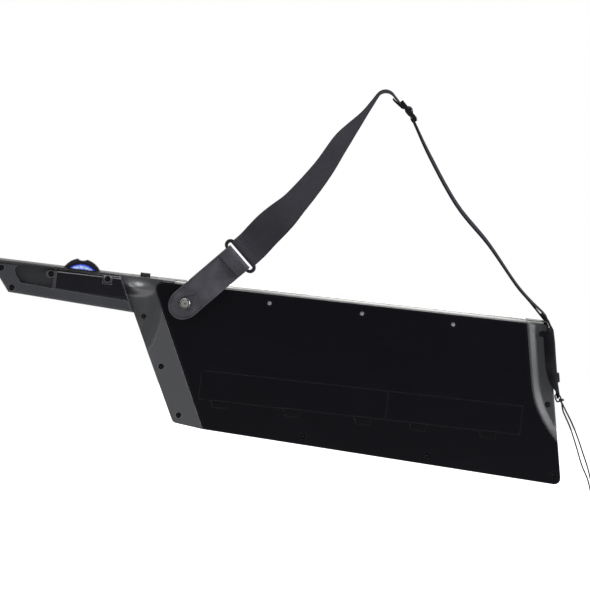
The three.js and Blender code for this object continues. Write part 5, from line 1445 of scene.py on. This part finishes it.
corner_reach = reach_along([Vector(place) for place in corner_line])


def round_corner(along):
    return Vector(float(np.interp(along, corner_reach, corner_line[:, axis])) for axis in (0, 1))


def end_section(k):
    """The leather's section across one place of the tab: flat at its head, bent round the corner below it."""
    to_head = end_reach[-1] - end_reach[k]
    share = min(end_reach[k] / FOOT_OVAL, 1)
    oval = max(max(1 - (1 - share) ** OVAL_POWER, 0) ** (1 / OVAL_POWER), OVAL_LEAST)
    spread = np.interp(to_head, HEAD_SPREAD, (1, 0))
    bent = np.interp(to_head, CORNER_BEND, (0, 1)) * min(end_reach[k] / FOOT_FLAT, 1)
    near = oval * (corner_reach[-1] * (1 - spread) + HEAD_HALF * spread)
    far = oval * (FAR_HALF * (1 - spread) + HEAD_HALF * spread)
    tip = math.sqrt(max(1 - max(0, 1 - to_head / TIP_LONG) ** 2, TIP_LEAST)) * TIP_FALL + (1 - TIP_FALL)
    top, under = [], []
    for j in range(ACROSS + 1):
        along = -far * tip + (far + near) * tip * (0.5 - 0.5 * math.cos(math.pi * j / ACROSS))
        thick = LEATHER_THICK / 2 * math.sqrt(max(1 - abs(2 * j / ACROSS - 1) ** EDGE_POWER, EDGE_LEAST))
        place = Vector((along, 0))
        normal = Vector((0, 1))
        if along > 0:
            spot = round_corner(along)
            way = round_corner(along + LOOK_AHEAD) - spot
            way = way if way.length > NEAR else Vector((0, -1))
            place = place.lerp(spot, bent)
            normal = normal.lerp(Vector((-way.y, way.x)).normalized(), bent).normalized()
        top.append(place + normal * (thick - (GROOVE if j in GROOVE_AT else 0)))
        under.append(place - normal * thick)
    return top + under[::-1]


def square_to(origin, along, out):
    """Turns a tool drawn with X along and Z out into its place, in millimetres."""
    return Matrix.Translation(origin) @ Matrix((along, out.cross(along), out)).transposed().to_4x4()


end_stations = [
    (point, OUT_OF_REAR, run_at(end_line, k).cross(OUT_OF_REAR)) for k, point in enumerate(end_line)
]
end_tab = carried("end_tab_leather", end_stations, end_section)
on_head = square_to(HEAD, HEAD_ALONG, HEAD_OUT)
on_wall = square_to(END_PEG, END_UP, END_OUT)
slot = cutter(
    on_head, "cube", size=1, location=(-SLOT_DEEP / 2, 0, 0), scale=(SLOT_DEEP, 2 * SLOT_HALF, THROUGH),
)
eyelet_hole = cutter(
    on_wall, "cylinder", vertices=24, radius=EYELET_RADIUS, depth=THROUGH, location=(EYELET_UP, 0, 0),
)
carve(end_tab, slot)
button_hole(end_tab, on_wall)
carve(end_tab, eyelet_hole)
smooth(end_tab, 40)
settle(end_tab, TO_ROW)
# Painted shade: the end tab's leather is far darker than the same strap's rear tab, for the shade it hangs
# in.
end_hide = hide(
    "end_hide", (0.003, 0.003, 0.0042, 1), (0.008, 0.008, 0.01, 1),
    pores=700.0, roughness=0.5, depth=0.5, specular=0.03,
)
dress([end_tab], end_hide)
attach(end_tab, "case")
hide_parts("end_strap_tab")
